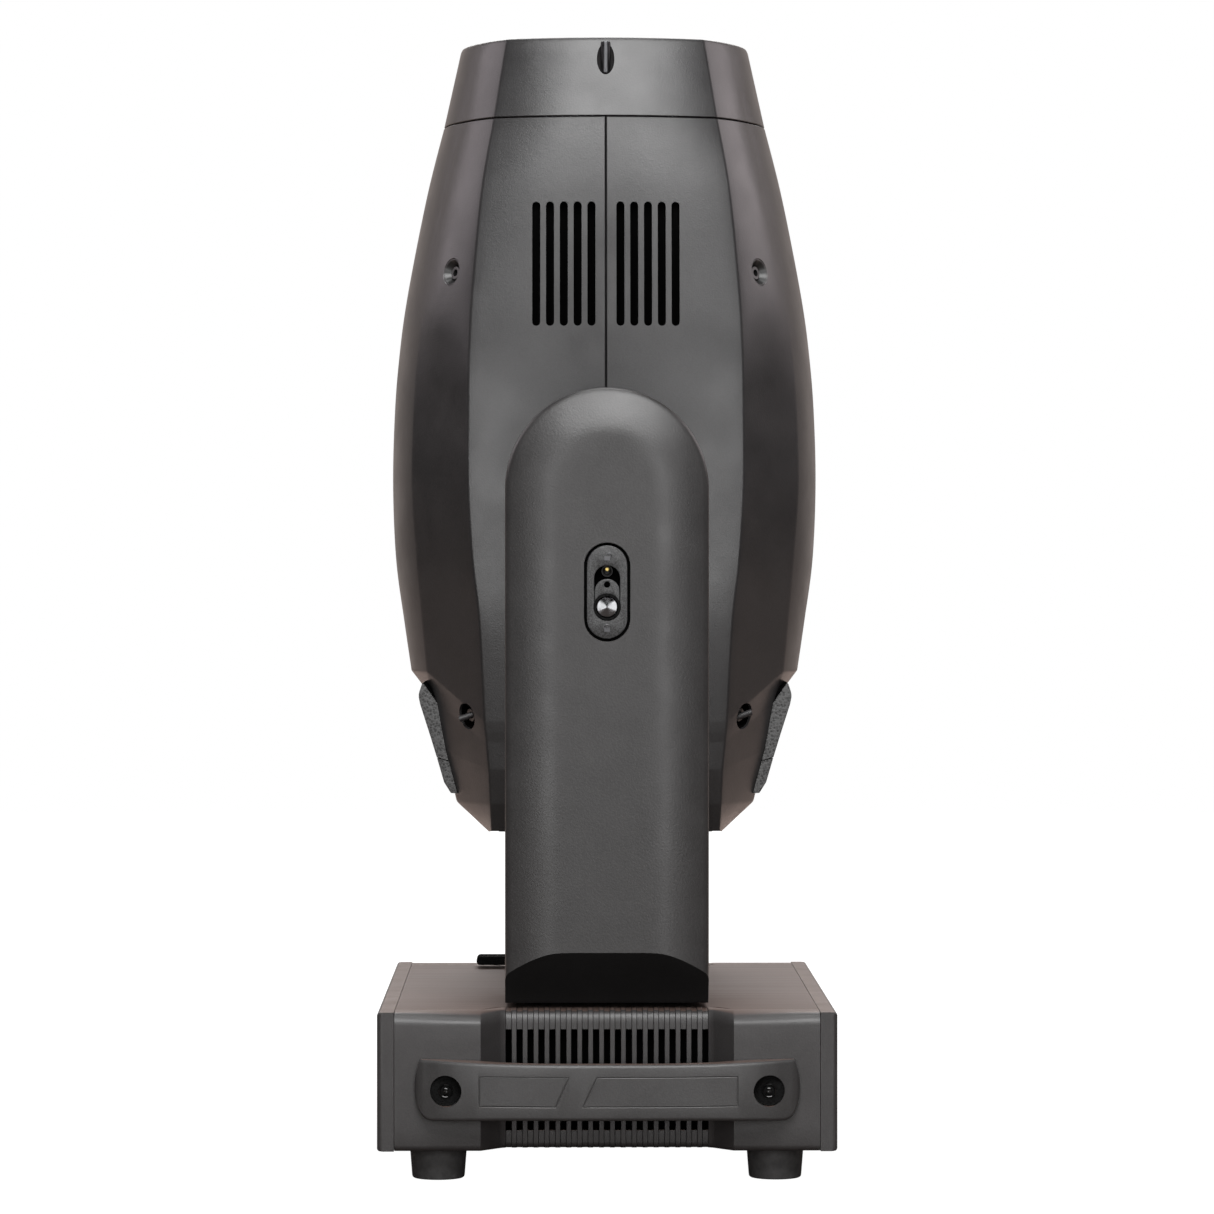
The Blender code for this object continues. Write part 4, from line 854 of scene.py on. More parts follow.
def bezel():
    """The tapered front ring with its rounded rim, lens seat and screw notches."""
    def bore(radius, z):
        points = []
        for x, y, _ in bezel_outline(HEAD_SECTIONS[0]):
            a = math.atan2(y, x)
            points.append((radius * math.cos(a), radius * math.sin(a), z))
        return points

    top, low = HEAD_SECTIONS[0], HEAD_SECTIONS[1]
    rings = [bezel_outline(lerp(top, low, 0.992), SEAM_BEVEL)]
    rings += [bezel_outline(lerp(top, low, t)) for t in (0.982, 0.8, 0.6, 0.4, 0.2, 0.05)]
    for inward, down in quarter_turn(4)[1:]:
        rings.append(bezel_outline(top, RIM_ROUND * inward, HEAD_TOP_Z - RIM_ROUND * down))
    rings += [bore(LENS_RADIUS + 0.0022, HEAD_TOP_Z), bore(LENS_RADIUS + 0.0008, 0.6562)]
    rings += [bore(LENS_RADIUS + 0.0003, 0.6545), bore(LENS_RADIUS + 0.0003, LENS_SEAT_Z)]
    rings += [bore(0.0640, LENS_SEAT_Z), bore(0.0640, 0.6300), bore(0.0740, 0.6260)]
    rings += [bore(0.0780, BEZEL_LOW_Z)]
    ring_piece = hooped("bezel_ring", rings, "head")
    for word, side in SIDES:
        bm = bmesh.new()
        bmesh.ops.create_uvsphere(bm, u_segments=40, v_segments=24, radius=1.0)
        bmesh.ops.scale(bm, vec=(0.0052, 0.0044, 0.0110), verts=bm.verts)
        bmesh.ops.translate(bm, vec=(0, side * 0.0806, 0.6450), verts=bm.verts)
        combined(ring_piece, placed("scoop", bm))
        rod = [(0, 0.0094), (0.0023, 0.0094), (0.0029, 0.0088), (0.0029, -0.0088)]
        rod += [(0.0023, -0.0094), (0, -0.0094)]
        pin = turned(f"bezel_pin_{word}", rod, (0, side * 0.0782, 0.6450), look="dark_steel", steps=24)
        finished(pin, "head", "steel")
    finished(ring_piece, "head", "housing", "front_bezel")
    baffle = [(0.0702, 0.6541), (0.0702, 0.6472), (0.0640, 0.6472), (0.0640, 0.6480)]
    baffle += [(0.0686, 0.6500), (0.0690, 0.6541)]
    finished(turned("lens_retainer", baffle, (0, 0, 0), look="black", steps=96), "head", "black_plastic")


def front_lens():
    edge = LENS_SEAT_Z + 0.0003
    rim = LENS_RADIUS - 0.0003
    profile = [(0.0, edge + 0.0115)]
    for k in range(1, 15):
        share = k / 14
        profile.append(((rim - 0.001) * share, edge + 0.0040 + 0.0075 * (1 - share * share)))
    profile += [(rim, edge + 0.0035), (rim, edge), (0, edge)]
    lens = turned("lens_front", profile, (0, 0, 0), look="glass", steps=96)
    finished(lens, "head", "glass", "front_lens")


PAD_OUTER = (  # X and Z of a filter pad's outer face, from the bottom up
    (0.0908, 0.2145),
    (0.0930, 0.2180),
    (0.0949, 0.2210),
    (0.0992, 0.2358),
    (0.1032, 0.2488),
    (0.1090, 0.2670),
    (0.1098, 0.2710),
    (0.1098, 0.2735),
    (0.1079, 0.2791),
)
PAD_TOP_SLOPE, PAD_TOP = 0.88, (0.0994, 0.2694)
PAD_END_Y = 0.0535


def rear_x(y, z):
    """The X of the head's rear side faces at this Y and Z."""
    rows = HEAD_SECTIONS[CREASE_SECTION:]
    k = next(k for k in range(1, len(rows)) if z >= rows[k][2])
    share = (rows[k - 1][2] - z) / (rows[k - 1][2] - rows[k][2])
    section = lerp(rows[k - 1], rows[k], share)
    edge_x, edge_y, side_x = section[6:9]
    past = abs(y) - edge_y
    if past > 0:
        return edge_x - past * (edge_x - section[4]) / (section[5] - edge_y)
    return side_x - (side_x - edge_x) * (y / edge_y) ** 2


def outer_at(z):
    """The X of a pad's outer face at this Z."""
    for (x_low, z_low), (x_high, z_high) in zip(PAD_OUTER, PAD_OUTER[1:]):
        if z <= z_high:
            return x_low + (x_high - x_low) * (z - z_low) / (z_high - z_low)
    return PAD_OUTER[-1][0]


def pad_part(name, hand, low, high):
    """A length of a filter pad between two slanted cuts: each is the outer and the inner Z."""
    rings = []
    half = [0.0, 0.010, 0.020, 0.030, 0.039, 0.046, 0.0505, 0.0527, PAD_END_Y]
    for y in [-value for value in half[:0:-1]] + half:
        inset = 0.0011 if abs(y) == PAD_END_Y else 0.0
        top = high[0]
        while outer_at(top) < rear_x(y, top) + 0.0008:
            top -= 0.0002
        heights = [low[0], *(z for _, z in PAD_OUTER if low[0] + 0.001 < z < 0.2730)]
        heights = [z for z in heights if z < high[0] - 0.001]
        heights += [heights[-1] + (top - heights[-1]) * t / 4 for t in range(1, 5)]
        section = [(outer_at(z) - inset, z) for z in heights]
        inner_top = min(high[1], top - 0.0004)
        for t in range(9):
            z = inner_top + (low[1] - inner_top) * t / 8
            slant = PAD_TOP[0] + (z - PAD_TOP[1]) * PAD_TOP_SLOPE
            x = max(rear_x(y, z) + 0.0004, slant)
            section.append((min(x, outer_at(z) - inset - 0.0003), z))
        rings.append([(hand * x, y, z) for x, z in section])
    return lofted(name, rings, "filter")


def intake_pads():
    """The filter pads on the head's rear faces, each in two lengths, with a black strip of painted shade in
    the gap on top.
    """
    for word, hand in HANDS:
        main = pad_part(f"intake_filter_{word}", hand, (0.2357, 0.2339), (0.2791, 0.2788))
        finished(main, "head", "intake_foam", f"intake_pad_{word}", angle=40)
        tail = pad_part(f"intake_tail_{word}", hand, (0.2147, 0.2144), (0.2351, 0.2333))
        finished(tail, "head", "intake_foam", angle=40)
        outline = [(0.1077, 0.2792), (0.0992, 0.2695), (0.0978, 0.2707), (0.1064, 0.2804)]
        outline = [(hand * x, z) for x, z in outline]
        strip = prism(f"intake_gap_shade_{word}", outline, -0.0531, 0.0531, "XZ", "void")
        finished(softened(strip, 0.0003), "head", "black_plastic")


def rear_guard():
    """The rear plate with its fan guard of rings and bars."""
    half = [(0.0655, 0.0480), (0.0625, 0.0730), (0.0300, 0.0750), (0.0, 0.0755)]
    right = [(x, -y) for x, y in half[::-1]] + half
    outline = right + [(-x, y) for x, y in right[-2:0:-1]]
    plate = prism("rear_guard", outline, GUARD_LOW_Z, GUARD_HIGH_Z, look="black")
    combined(plate, drum("hole", 0.0535, 0.01, -0.01, (0, 0, 0.195), steps=96))
    finished(softened(plate, 0.0006), "head", "black_plastic", "rear_cap")
    bars = []
    for radius in (0.0170, 0.0255, 0.0340, 0.0425, 0.0505):
        loop = [(x, y, 0.1943) for x, y in circle(radius, 72)]
        bars.append(wire("guard_ring", loop, 0.0009, cyclic=True))
    reach = 0.0550
    for k in range(6):
        x, y = reach * math.cos(math.pi * k / 6), reach * math.sin(math.pi * k / 6)
        bars.append(wire("guard_bar", [(-x, -y, 0.1957), (x, y, 0.1957)], 0.0009))
    finished(merged("fan_guard_wires", bars, "dark_steel"), "head", "steel", angle=60)
    x, y = 0.0465, 0.0560
    spots = [(u, v, GUARD_LOW_Z) for u, v in ((x, y), (-x, y), (-x, -y), (x, -y))]
    screws("guard_screw", spots, 0.0034, 0.0016, "-Z", "head")


def fan():
    hub = [(0, 0.0160), (0.0170, 0.0160), (0.0185, 0.0148), (0.0188, 0.0), (0, 0.0)]
    rotor = turned("fan_hub", hub, (0, 0, FAN_Z), look="satin_black", steps=48)
    blades = []
    for k in range(7):
        rows = []
        for j in range(9):
            r = 0.0183 + 0.0320 * j / 8
            sweep = 2 * math.pi * k / 7 - 0.35 * (j / 8) ** 1.3
            pitch = math.radians(48 - 20 * j / 8)
            chord = 0.0150 + 0.0055 * j / 8
            row = []
            for i in range(7):
                u = (i / 6 - 0.5) * chord
                camber = 0.0012 * (1 - (2 * i / 6 - 1) ** 2)
                across = u * math.cos(pitch)
                up = min(max(0.0080 + u * math.sin(pitch) + camber, 0.0010), 0.0150)
                a = sweep + across / r
                row.append((r * math.cos(a), r * math.sin(a), FAN_Z + up))
            rows.append(row)
        blades.append(thickened(skinned_out("blade", rows, (0, 0, 0), "satin_black"), 0.0011))
    finished(merged("fan_blades", blades, "satin_black"), "fan", "black_plastic", angle=50)
    finished(rotor, "fan", "black_plastic", "fan_rotor")


# ---------------------------------------------------------------- yoke
def arm_bottom_z(y):
    slope = (ARM_CHAMFER_Z - ARM_BOTTOM_Z) / (ARM_FACE_Y - ARM_CHAMFER_Y)
    return ARM_BOTTOM_Z + max(y - ARM_CHAMFER_Y, 0.0) * slope


def arm_profile():
    """From the edge of the flat face round the soft bevel and corner to the open rim: X, Y."""
    points = [(0.0175, ARM_FACE_Y)]
    slopes = ((0.0175, 0.0), (0.024, 0.02), (0.029, 0.06), (0.0315, 0.12), (0.034, 0.19), (0.038, 0.25),
              (0.045, 0.33), (ARM_HALF_X - 0.0018, 0.46))
    for (x, slope), (next_x, next_slope) in zip(slopes, slopes[1:]):
        steps = max(round((next_x - x) / 0.002), 1)
        for k in range(1, steps + 1):
            here = slope + (next_slope - slope) * (k - 0.5) / steps
            y = points[-1][1] - here * (next_x - x) / steps
            points.append((x + (next_x - x) * k / steps, y))
    start = points[-1]
    end = (ARM_HALF_X, ARM_CORNER_Y)
    corner = (ARM_HALF_X, ARM_EDGE_Y - 0.0009)
    points += [bezier(start, corner, end, t / 5) for t in range(1, 6)]
    points += [(ARM_HALF_X, y) for y in (0.1515, ARM_CHAMFER_Y, 0.136, 0.126, ARM_OPEN_Y)]
    return points


def arm_cover(word, side):
    steps = 56
    profile = arm_profile()
    bm = bmesh.new()
    paths = []
    for x, y in profile:
        bottom = arm_bottom_z(y)
        arc = []
        for k in range(steps + 1):
            a = math.pi * k / steps
            arc.append((x * math.cos(a), side * y, TILT_Z + x * math.sin(a)))
        left = [(x, side * y, bottom + (TILT_Z - bottom) * t / 8) for t in range(8)]
        right = [(-px, py, pz) for px, py, pz in left[::-1]]
        paths.append(left + arc + right)
    rows = skin(bm, paths)
    bm.faces.new(rows[0])
    bend = next(k for k, (_, y) in enumerate(profile) if y <= ARM_CHAMFER_Y)
    chamfer = bm.faces.new([row[0] for row in rows[:bend + 1]] + [row[-1] for row in rows[bend::-1]])
    sole = bm.faces.new([row[0] for row in rows[bend:]] + [row[-1] for row in rows[:bend - 1:-1]])
    # The chamfer and the sole take the black look: painted shade on the arm's downward faces.
    chamfer.material_index = 1
    sole.material_index = 1
    bmesh.ops.recalc_face_normals(bm, faces=bm.faces)
    bm.normal_update()
    if side * max(bm.faces, key=lambda f: f.calc_area()).normal.y < 0:
        bmesh.ops.reverse_faces(bm, faces=bm.faces)
    cover = thickened(object_of(f"arm_skin_{word}", bm, "arm", "black"), ARM_WALL)
    if side == NEAR:
        ends = (-ARM_FACE_Y - 0.01, -ARM_FACE_Y + 0.01)
        oval = stadium(LOCK_HALF_X + 0.0004, LOCK_HALF_Z + 0.0004, (0, LOCK_Z), 24)
        combined(cover, prism("opening", oval, *ends, plane="XZ", look="arm"))
    else:
        combined(cover, block("window", (-0.066, 0.1242, 0.095), (-0.040, 0.1468, 0.1078), "arm"))
    finished(cover, "yoke", "housing", f"arm_cover_{word}", angle=26)


def tilt_lock():
    """The oval recess on the near arm: its plate, slide, knob, indicator and signs."""
    face = -ARM_FACE_Y
    centre = (0, LOCK_Z)

    def oval(name, outline, front, back, look="plate"):
        return prism(name, outline, face + front, face + back, "XZ", look)

    def pin(name, profile, depth, z, look, steps):
        return turned(name, profile, (0, face + depth, z), "-Y", look, steps)

    outline = stadium(LOCK_HALF_X - 0.0013, LOCK_HALF_Z - 0.0013, centre, 24)
    plate = oval("lock_plate", outline, 0.0010, 0.0055)
    combined(plate, oval("slot", stadium(0.0073, 0.0155, (0, 0.3333), 20), -0.01, 0.01))
    finished(softened(plate, 0.0004), "yoke", "housing", "tilt_lock_plate")
    # A black ring of painted shade in the gap round the plate.
    outer = stadium(LOCK_HALF_X + 0.0002, LOCK_HALF_Z + 0.0002, centre, 24)
    inner = stadium(LOCK_HALF_X - 0.0012, LOCK_HALF_Z - 0.0012, centre, 24)
    rings = []
    for outline, y in ((outer, 0.0022), (outer, 0.0055), (inner, 0.0055), (inner, 0.0022)):
        rings.append([(x, face + y, z) for x, z in outline])
    finished(hooped("lock_gap_shade", rings, "void"), "yoke", "black_plastic")
    # A black oval of painted shade behind the slot.
    backing = oval("lock_slot_shade", stadium(0.0105, 0.0235, centre, 20), 0.0080, 0.0090, "void")
    finished(backing, "yoke", "black_plastic")
    cup = [(0, -0.0011), (0.0014, -0.0009), (0.0026, 0.0008), (0.0031, 0.0008), (0.0033, 0.0003)]
    cup += [(0.0033, -0.0018), (0, -0.0018)]
    finished(pin("lock_indicator_cup", cup, 0.0052, 0.3455, "black", 40), "yoke", "black_plastic")
    rim = [(0, 0.0012), (0.0009, 0.0012), (0.0013, 0.0008), (0.0013, 0), (0, 0)]
    finished(pin("lock_indicator", rim, 0.0057, 0.3466, "brass", 24), "yoke", "steel")
    padlock("lock_sign", 0.3128, face + 0.0010, False)
    padlock("unlock_sign", 0.3532, face + 0.0010, True)
    slide = oval("lock_slide", stadium(0.0070, 0.0098, (0, 0.3313), 16), 0.0022, 0.0040)
    for radius, z, steps in ((0.0018, 0.3379, 24), (0.0072, LOCK_KNOB_Z, 48)):
        combined(slide, drum("hole", radius, 0.01, -0.0035, (0, face + 0.003, z), "-Y", "void", steps))
    finished(softened(slide, 0.0005), "tilt_lock_button", "black_plastic", "tilt_lock_slider")
    cone = [(0, 0.00524), (0.0006, 0.00516), (0.0059, 0.00440), (0.0062, 0.00432), (0.0065, 0.0040)]
    cone += [(0.0065, 0), (0, 0)]
    knob_top = pin("lock_knob", cone, 0.0066, LOCK_KNOB_Z, "polished", 96)
    finished(knob_top, "tilt_lock_button", "black_plastic", angle=20)
    collar = [(0.0063, 0.0060), (0.0074, 0.0059), (0.0077, 0.0056), (0.0077, 0.0054), (0.0063, 0.0054)]
    ring = pin("lock_collar", collar, 0.0062, LOCK_KNOB_Z, "dull_black", 64)
    finished(ring, "tilt_lock_button", "black_plastic")


def padlock(name, z, y, open_shackle):
    """A small raised padlock sign, open or shut."""
    lift = 0.00025
    body = block("body", (-0.0016, y - lift, z - 0.0016), (0.0016, y + 0.0005, z + 0.0008))
    shift = 0.0014 if open_shackle else 0.0
    arc = []
    for k in range(13):
        a = math.pi * k / 12
        arc.append((shift + 0.0011 * math.cos(a), y, z + 0.0014 + 0.0011 * math.sin(a)))
    arc = [(arc[0][0], y, z + 0.0004), *arc]
    if not open_shackle:
        arc.append((arc[-1][0], y, z + 0.0004))
    shackle = wire("shackle", arc, 0.00028)
    finished(merged(name, [body, shackle], "dark_steel"), "yoke", "steel")


def pan_lock():
    """The sliding tab at the foot of the far arm, with grip grooves across it."""
    low, high = 0.1245, 0.1465
    outline = rounded_box(0.0144, 0.0026, 0.0024, (-0.0644, 0.1012))
    tab = prism("pan_lock_tab", outline, low, high, "XZ", "dull_black")
    grooves = [
        block("groove", (x - 0.0005, low + 0.003, 0.1033), (x + 0.0005, high - 0.003, 0.107))
        for x in (-0.0755, -0.0730, -0.0705, -0.0680)
    ]
    combined(tab, merged("grooves", grooves))
    finished(softened(tab, 0.0008), "pan_lock_tab", "black_plastic", "pan_lock_lever")


def arm_inner(word, side):
    """The flat inner cover of an arm with its screws."""
    angles = [math.pi * k / 64 for k in range(65)]
    arc = [(ARM_HALF_X * math.cos(a), TILT_Z + ARM_HALF_X * math.sin(a)) for a in angles]
    bottom = ARM_BOTTOM_Z + 0.0002
    outline = [(ARM_HALF_X, bottom), *arc, (-ARM_HALF_X, bottom)]
    face = 0.1127
    ends = span(side, face, ARM_OPEN_Y - 0.0003)
    cover = prism(f"arm_lid_{word}", outline, *ends, plane="XZ", look="inner")
    combined(cover, drum("hub", 0.024, 0.02, -0.02, (0, side * 0.1139, TILT_Z), "Y", "inner", 64))
    combined(cover, foot_window(0.1020, 0.1255, "inner"))
    finished(softened(cover, 0.0008), "yoke", "housing", f"arm_inner_{word}")
    spots = [(x, side * face, z) for z in (0.405, 0.290, 0.170) for x in (0.047, -0.047)]
    screws(f"arm_screw_{word}", spots, 0.0034, 0.0018, axis_out(-side), "yoke")


def foot_window(low_z, high_z, look):
    """A cutter for the opening that the fork's foot passes through."""
    return block("window", (-FOOT_HALF_X, -0.2, low_z), (FOOT_HALF_X, 0.2, high_z), look)


def bridge():
    """The cover over the fork's foot, crowned along its long edges."""
    radius = 0.010
    arc = [(ARM_HALF_X - radius * u, BRIDGE_TOP_Z - radius * v) for u, v in quarter_turn(12)]
    outline = [(ARM_HALF_X, ARM_BOTTOM_Z), *arc]
    outline += [(-x, z) for x, z in outline[::-1]]
    cover = prism("bridge_skin", outline, -0.1124, 0.1124, plane="XZ", look="arm")
    inside = [(x - math.copysign(ARM_WALL, x), z - ARM_WALL) for x, z in outline]
    combined(cover, prism("hollow", inside, -0.1099, 0.1099, plane="XZ", look="arm"))
    combined(cover, foot_window(0.1018, 0.1235, "arm"))
    finished(softened(cover, 0.0005), "yoke", "housing", "bridge_cover")
    spots = [(x, y, BRIDGE_TOP_Z) for x, y in corners(0.040, 0.095)]
    screws("bridge_screw", spots, 0.0036, 0.0016, "Z", "yoke")


# ---------------------------------------------------------------- base
def recess(x):
    """How far a side cover stands back at this X: an even slope into a flat hollow."""
    t = min(max((RECESS_START - abs(x)) / RECESS_RAMP, 0.0), 1.0)
    return RECESS_DEPTH * t


VENTS = [(k - (VENT_COUNT - 1) / 2) * VENT_PITCH for k in range(VENT_COUNT)]


def cover_stations():
    """X positions across a side cover, with both edges of each rib's groove, and how deep the
    groove is there."""
    edge = BASE_HALF_X - PANEL_THICKNESS - 0.0003
    stations = [edge, 0.110, 0.100, 0.090, 0.080, RECESS_START + 0.0006, RECESS_START]
    stations += [RECESS_START - RECESS_RAMP * k / 12 for k in range(1, 12)]
    half = VENT_WIDTH / 2
    ribs = []
    for x in VENTS:
        ribs += [(x - half - 0.0002, 0.0), (x - half + 0.0002, 1.0)]
        ribs += [(x + half - 0.0002, 1.0), (x + half + 0.0002, 0.0)]
    return [(-x, 0.0) for x in stations] + ribs + [(x, 0.0) for x in stations[::-1]]


def cover_profile():
    """A side cover's section from its bottom edge up and over: the share of the way along the top
    fillet, the inward distance at the bottom and on top, and Z."""
    points = [(0.0, FILLET_LOW * v, BASE_LOW_Z + FILLET_LOW * u) for u, v in quarter_turn(5)]
    points += [(0.0, 0.0, z) for z in (0.032, 0.055, 0.078)]
    points += [(u, 0.0, BASE_TOP_Z - FILLET_HIGH * v) for u, v in quarter_turn(12)]
    points.append((1.0, 0.0008, BASE_TOP_Z))
    return points


def fillet_reach(x, side):
    """How far in the top fillet reaches at this X: the near caps' widen towards the middle."""
    share = min(max((0.1205 - abs(x)) / 0.0625, 0.0), 1.0)
    extra = 0.0135 if side == NEAR else 0.0
    return max(FILLET_HIGH + extra * share - recess(x), 0.0060)


def side_cover(word, side):
    """The cap along one short side of the base, with upright slots between ribs."""
    stations = cover_stations()
    rows = []
    for share, inset, z in cover_profile():
        row = []
        for x, depth in stations:
            groove = depth * RIB_DEPTH
            inward = fillet_reach(x, side) * share + inset
            back = BASE_HALF_Y - inward - recess(x) - groove * (1 - 0.6 * share)
            row.append((x, side * back, z - 0.6 * groove * share))
        rows.append(row)
    rows.append([(x, side * (BASE_HALF_Y - FLANGE - recess(x)), BASE_TOP_Z) for x, _ in stations])
    cover = skinned_out(f"side_skin_{word}", rows, (0, side * 0.10, 0.03), "base")
    thickened(cover, COVER_WALL)
    low, high = span(side, 0.150, 0.185)
    half = VENT_WIDTH / 2
    slots = [block("slot", (x - half, low, VENT_LOW_Z), (x + half, high, VENT_HIGH_Z)) for x in VENTS]
    combined(cover, merged("slots", slots, "base"))
    finished(cover, "base", "housing", f"side_cover_{word}", angle=34)
    # A black block of painted shade behind the slots.
    low, high = span(side, 0.1512, 0.1500)
    screen = block(f"slot_painted_shade_{word}", (-0.0600, low, 0.0255), (0.0600, high, 0.0880), "void")
    finished(softened(screen, 0.0003), "base", "black_plastic")


def handle_at(x):
    """Half height, inner Y and outer Y of a handle at this X, on a smooth curve."""
    x = abs(x)
    table = HANDLE_SECTIONS
    for k in range(len(table) - 1):
        if x <= table[k + 1][0]:
            a, b = table[k], table[k + 1]
            before = table[k - 1] if k else (-table[1][0], *table[1][1:])
            after = table[min(k + 2, len(table) - 1)]
            t = (x - a[0]) / (b[0] - a[0])
            smooth = catmull(before, a, b, after, t)
            return smooth[1], max(smooth[2], HANDLE_BACK_Y), smooth[3]
    return table[-1][1:]


def handle_ends(x):
    """The top and bottom Z of a handle at this X: its ends bulge, with a sharp upper corner."""
    x = abs(x)
    half_height = handle_at(x)[0]
    top, bottom = HANDLE_Z + half_height, HANDLE_Z - half_height
    tip_x, tip_z = 0.1087, 0.0544
    upper_start, upper_length, upper_height = 0.1054, 0.0033, 0.0162
    lower_start, lower_length, lower_height = 0.1000, 0.0087, 0.0180
    if x > upper_start:
        top = min(top, tip_z + upper_height * math.sqrt(max(tip_x - x, 0.0) / upper_length))
    if x > lower_start:
        bend = math.sqrt(max(1 - ((x - lower_start) / lower_length) ** 2, 0.0))
        bottom = max(bottom, tip_z - lower_height * bend)
    return top, bottom


def handle(word, side):
    """A handle bar with a bowl for each bolt and two engraved outlines on its outer face."""
    stations = [HANDLE_END, *(HANDLE_END * (1 - (k / 44) ** 2.0) for k in range(1, 45))]
    stations = [-x for x in stations] + stations[-2::-1]
    nose_start, nose_length, nose_depth = 0.1058, 0.0030, 0.0028
    rings = []
    for x in stations:
        _, inner, outer = handle_at(x)
        top, bottom = handle_ends(x)
        past = abs(x) - nose_start
        if past > 0:
            outer -= nose_depth * (1 - math.sqrt(max(1 - (past / nose_length) ** 2, 0.0)))
        corner = min(0.0022, (outer - inner) * 0.45, (top - bottom) * 0.3)
        lip = min(0.0012, corner * 0.5)
        section = [(inner, bottom + lip), (inner, top - lip), (inner + lip, top)]
        section += [(outer - corner * v, top - corner * u) for u, v in quarter_turn(5)]
        section += [(outer - corner * u, bottom + corner * v) for u, v in quarter_turn(5)]
        section.append((inner + lip, bottom))
        rings.append([(x, side * y, z) for y, z in section])
    grip = lofted(f"grip_{word}", rings, "handle")
    bowl = [(0, 0.03), (0.0097, 0.03), (0.0089, 0.0104), (0.0087, 0.0006), (0, 0.0006)]
    for x in (-BOLT_X, BOLT_X):
        combined(grip, turned("bowl", bowl, (x, side * 0.1775, HANDLE_Z), axis_out(side), "handle"))
    left = ((-0.0720, 0.0618), (-0.0220, 0.0618), (-0.0292, 0.0453), (-0.0720, 0.0453))
    right = ((-0.0060, 0.0618), (0.0730, 0.0618), (0.0730, 0.0453), (-0.0140, 0.0453))
    for outline in (left, right):
        combined(grip, engraved(outline, side))
    finished(grip, "base", "housing", f"handle_{word}", angle=30)


def engraved(outline, side):
    """A cutter for a fine groove along an outline on a handle's outer face."""
    path = []
    for k, (x, z) in enumerate(outline):
        next_x, next_z = outline[(k + 1) % len(outline)]
        steps = max(int(math.hypot(next_x - x, next_z - z) / 0.004), 2)
        for j in range(steps):
            px = x + (next_x - x) * j / steps
            pz = z + (next_z - z) * j / steps
            path.append((px, side * (handle_at(px)[2] + 0.0001), pz))
    return wire("groove", path, 0.00058, "handle", cyclic=True)


def handle_bolts():
    """The bolts in the handles' bowls: a shallow cup with a raised ring and a stud in it."""
    cup = [(0, 0.0050), (0.0079, 0.0045), (0.0082, 0.0050), (0.0085, 0.0050), (0.00865, 0.0046)]
    cup += [(0.00865, 0), (0, 0)]
    ridge = [(0.0028, 0.0047), (0.0031, 0.0054), (0.0036, 0.0057), (0.0041, 0.0053), (0.0043, 0.0046)]
    stud = [(0, 0.0062), (0.0009, 0.0063), (0.0013, 0.0068), (0.0017, 0.0066), (0.0018, 0.0052)]
    stud += [(0, 0.0050)]
    for side_word, side in SIDES:
        for hand, x in (("left", -BOLT_X), ("right", BOLT_X)):
            word, at = f"{side_word}_{hand}", (x, side * 0.1783, HANDLE_Z)
            disc = turned(f"bolt_cup_{word}", cup, at, axis_out(side), "dull_black", 56)
            finished(disc, "base", "black_plastic", f"handle_bolt_{word}", angle=24)
            ring = turned(f"bolt_ring_{word}", ridge, at, axis_out(side), "gloss_black")
            finished(ring, "base", "black_plastic")
            pin = turned(f"bolt_stud_{word}", stud, at, axis_out(side), "gloss_black", 32)
            finished(pin, "base", "black_plastic")


def feet():
    """Rubber feet, hollow underneath, each with the screw that holds it."""
    top = BASE_LOW_Z - 0.0003
    profile = [(0, top), (0.0158, top), (0.0162, top - 0.0006), (0.0161, top - 0.0022)]
    profile += [(0.0150, 0.0014), (0.0147, 0.0005), (0.0140, 0.0), (0.0118, 0.0)]
    profile += [(0.0066, 0.0), (0.0060, 0.0008), (0.0060, 0.0050), (0, 0.0050)]
    for side_word, side in SIDES:
        for hand, x in (("left", -FOOT_X), ("right", FOOT_X)):
            word, y = f"{side_word}_{hand}", side * FOOT_Y
            foot = turned(f"rubber_foot_{word}", profile, (x, y, 0), look="rubber", steps=64)
            finished(foot, "base", "rubber", f"foot_{word}")
            head, at = screw_profile(0.0045, 0.0020), (x, y, 0.0049)
            screw = turned(f"foot_screw_{word}", head, at, "-Z", "dark_steel", SCREW_STEPS)
            finished(screw, "base", "steel")


def panel_outline(sign):
    """An end panel's section with its two outer edges rounded: X and Z."""
    inner = BASE_HALF_X - PANEL_THICKNESS
    low, high = 0.0018, 0.0020
    points = [(inner, BASE_LOW_Z)]
    points += [(BASE_HALF_X - low * v, BASE_LOW_Z + low * u) for u, v in quarter_turn(4)]
    points += [(BASE_HALF_X - high * u, BASE_TOP_Z - high * v) for u, v in quarter_turn(8)]
    points.append((inner, BASE_TOP_Z))
    return [(sign * x, z) for x, z in points]


def end_panel(name, sign, holes, node, pockets=()):
    """A moulded panel along one long side of the base, with a soft outer edge all round."""
    outline = panel_outline(sign)
    inner = sign * (BASE_HALF_X - PANEL_THICKNESS)
    rings = []
    for y, inset in ((-0.175, 0.0022), (-0.1744, 0.0010), (-0.1734, 0.0), (0.1734, 0.0),
                     (0.1744, 0.0010), (0.175, 0.0022)):
        ring = []
        for x, z in outline:
            depth = (x - inner) * (1 - inset / PANEL_THICKNESS)
            ring.append((inner + depth, y, z))
        rings.append(ring)
    panel = lofted(name, rings, "base")
    combined(panel, merged("holes", holes, "base"))
    for pocket in pockets:
        combined(panel, pocket)
    finished(panel, "base", "housing", node)


def side_on(name, half_y, half_z, radius, y, low, high, look=None):
    """A block with rounded corners that faces +X, between two X."""
    return prism(name, rounded_box(half_y, half_z, radius, (y, CONTROLS_Z)), low, high, "YZ", look)


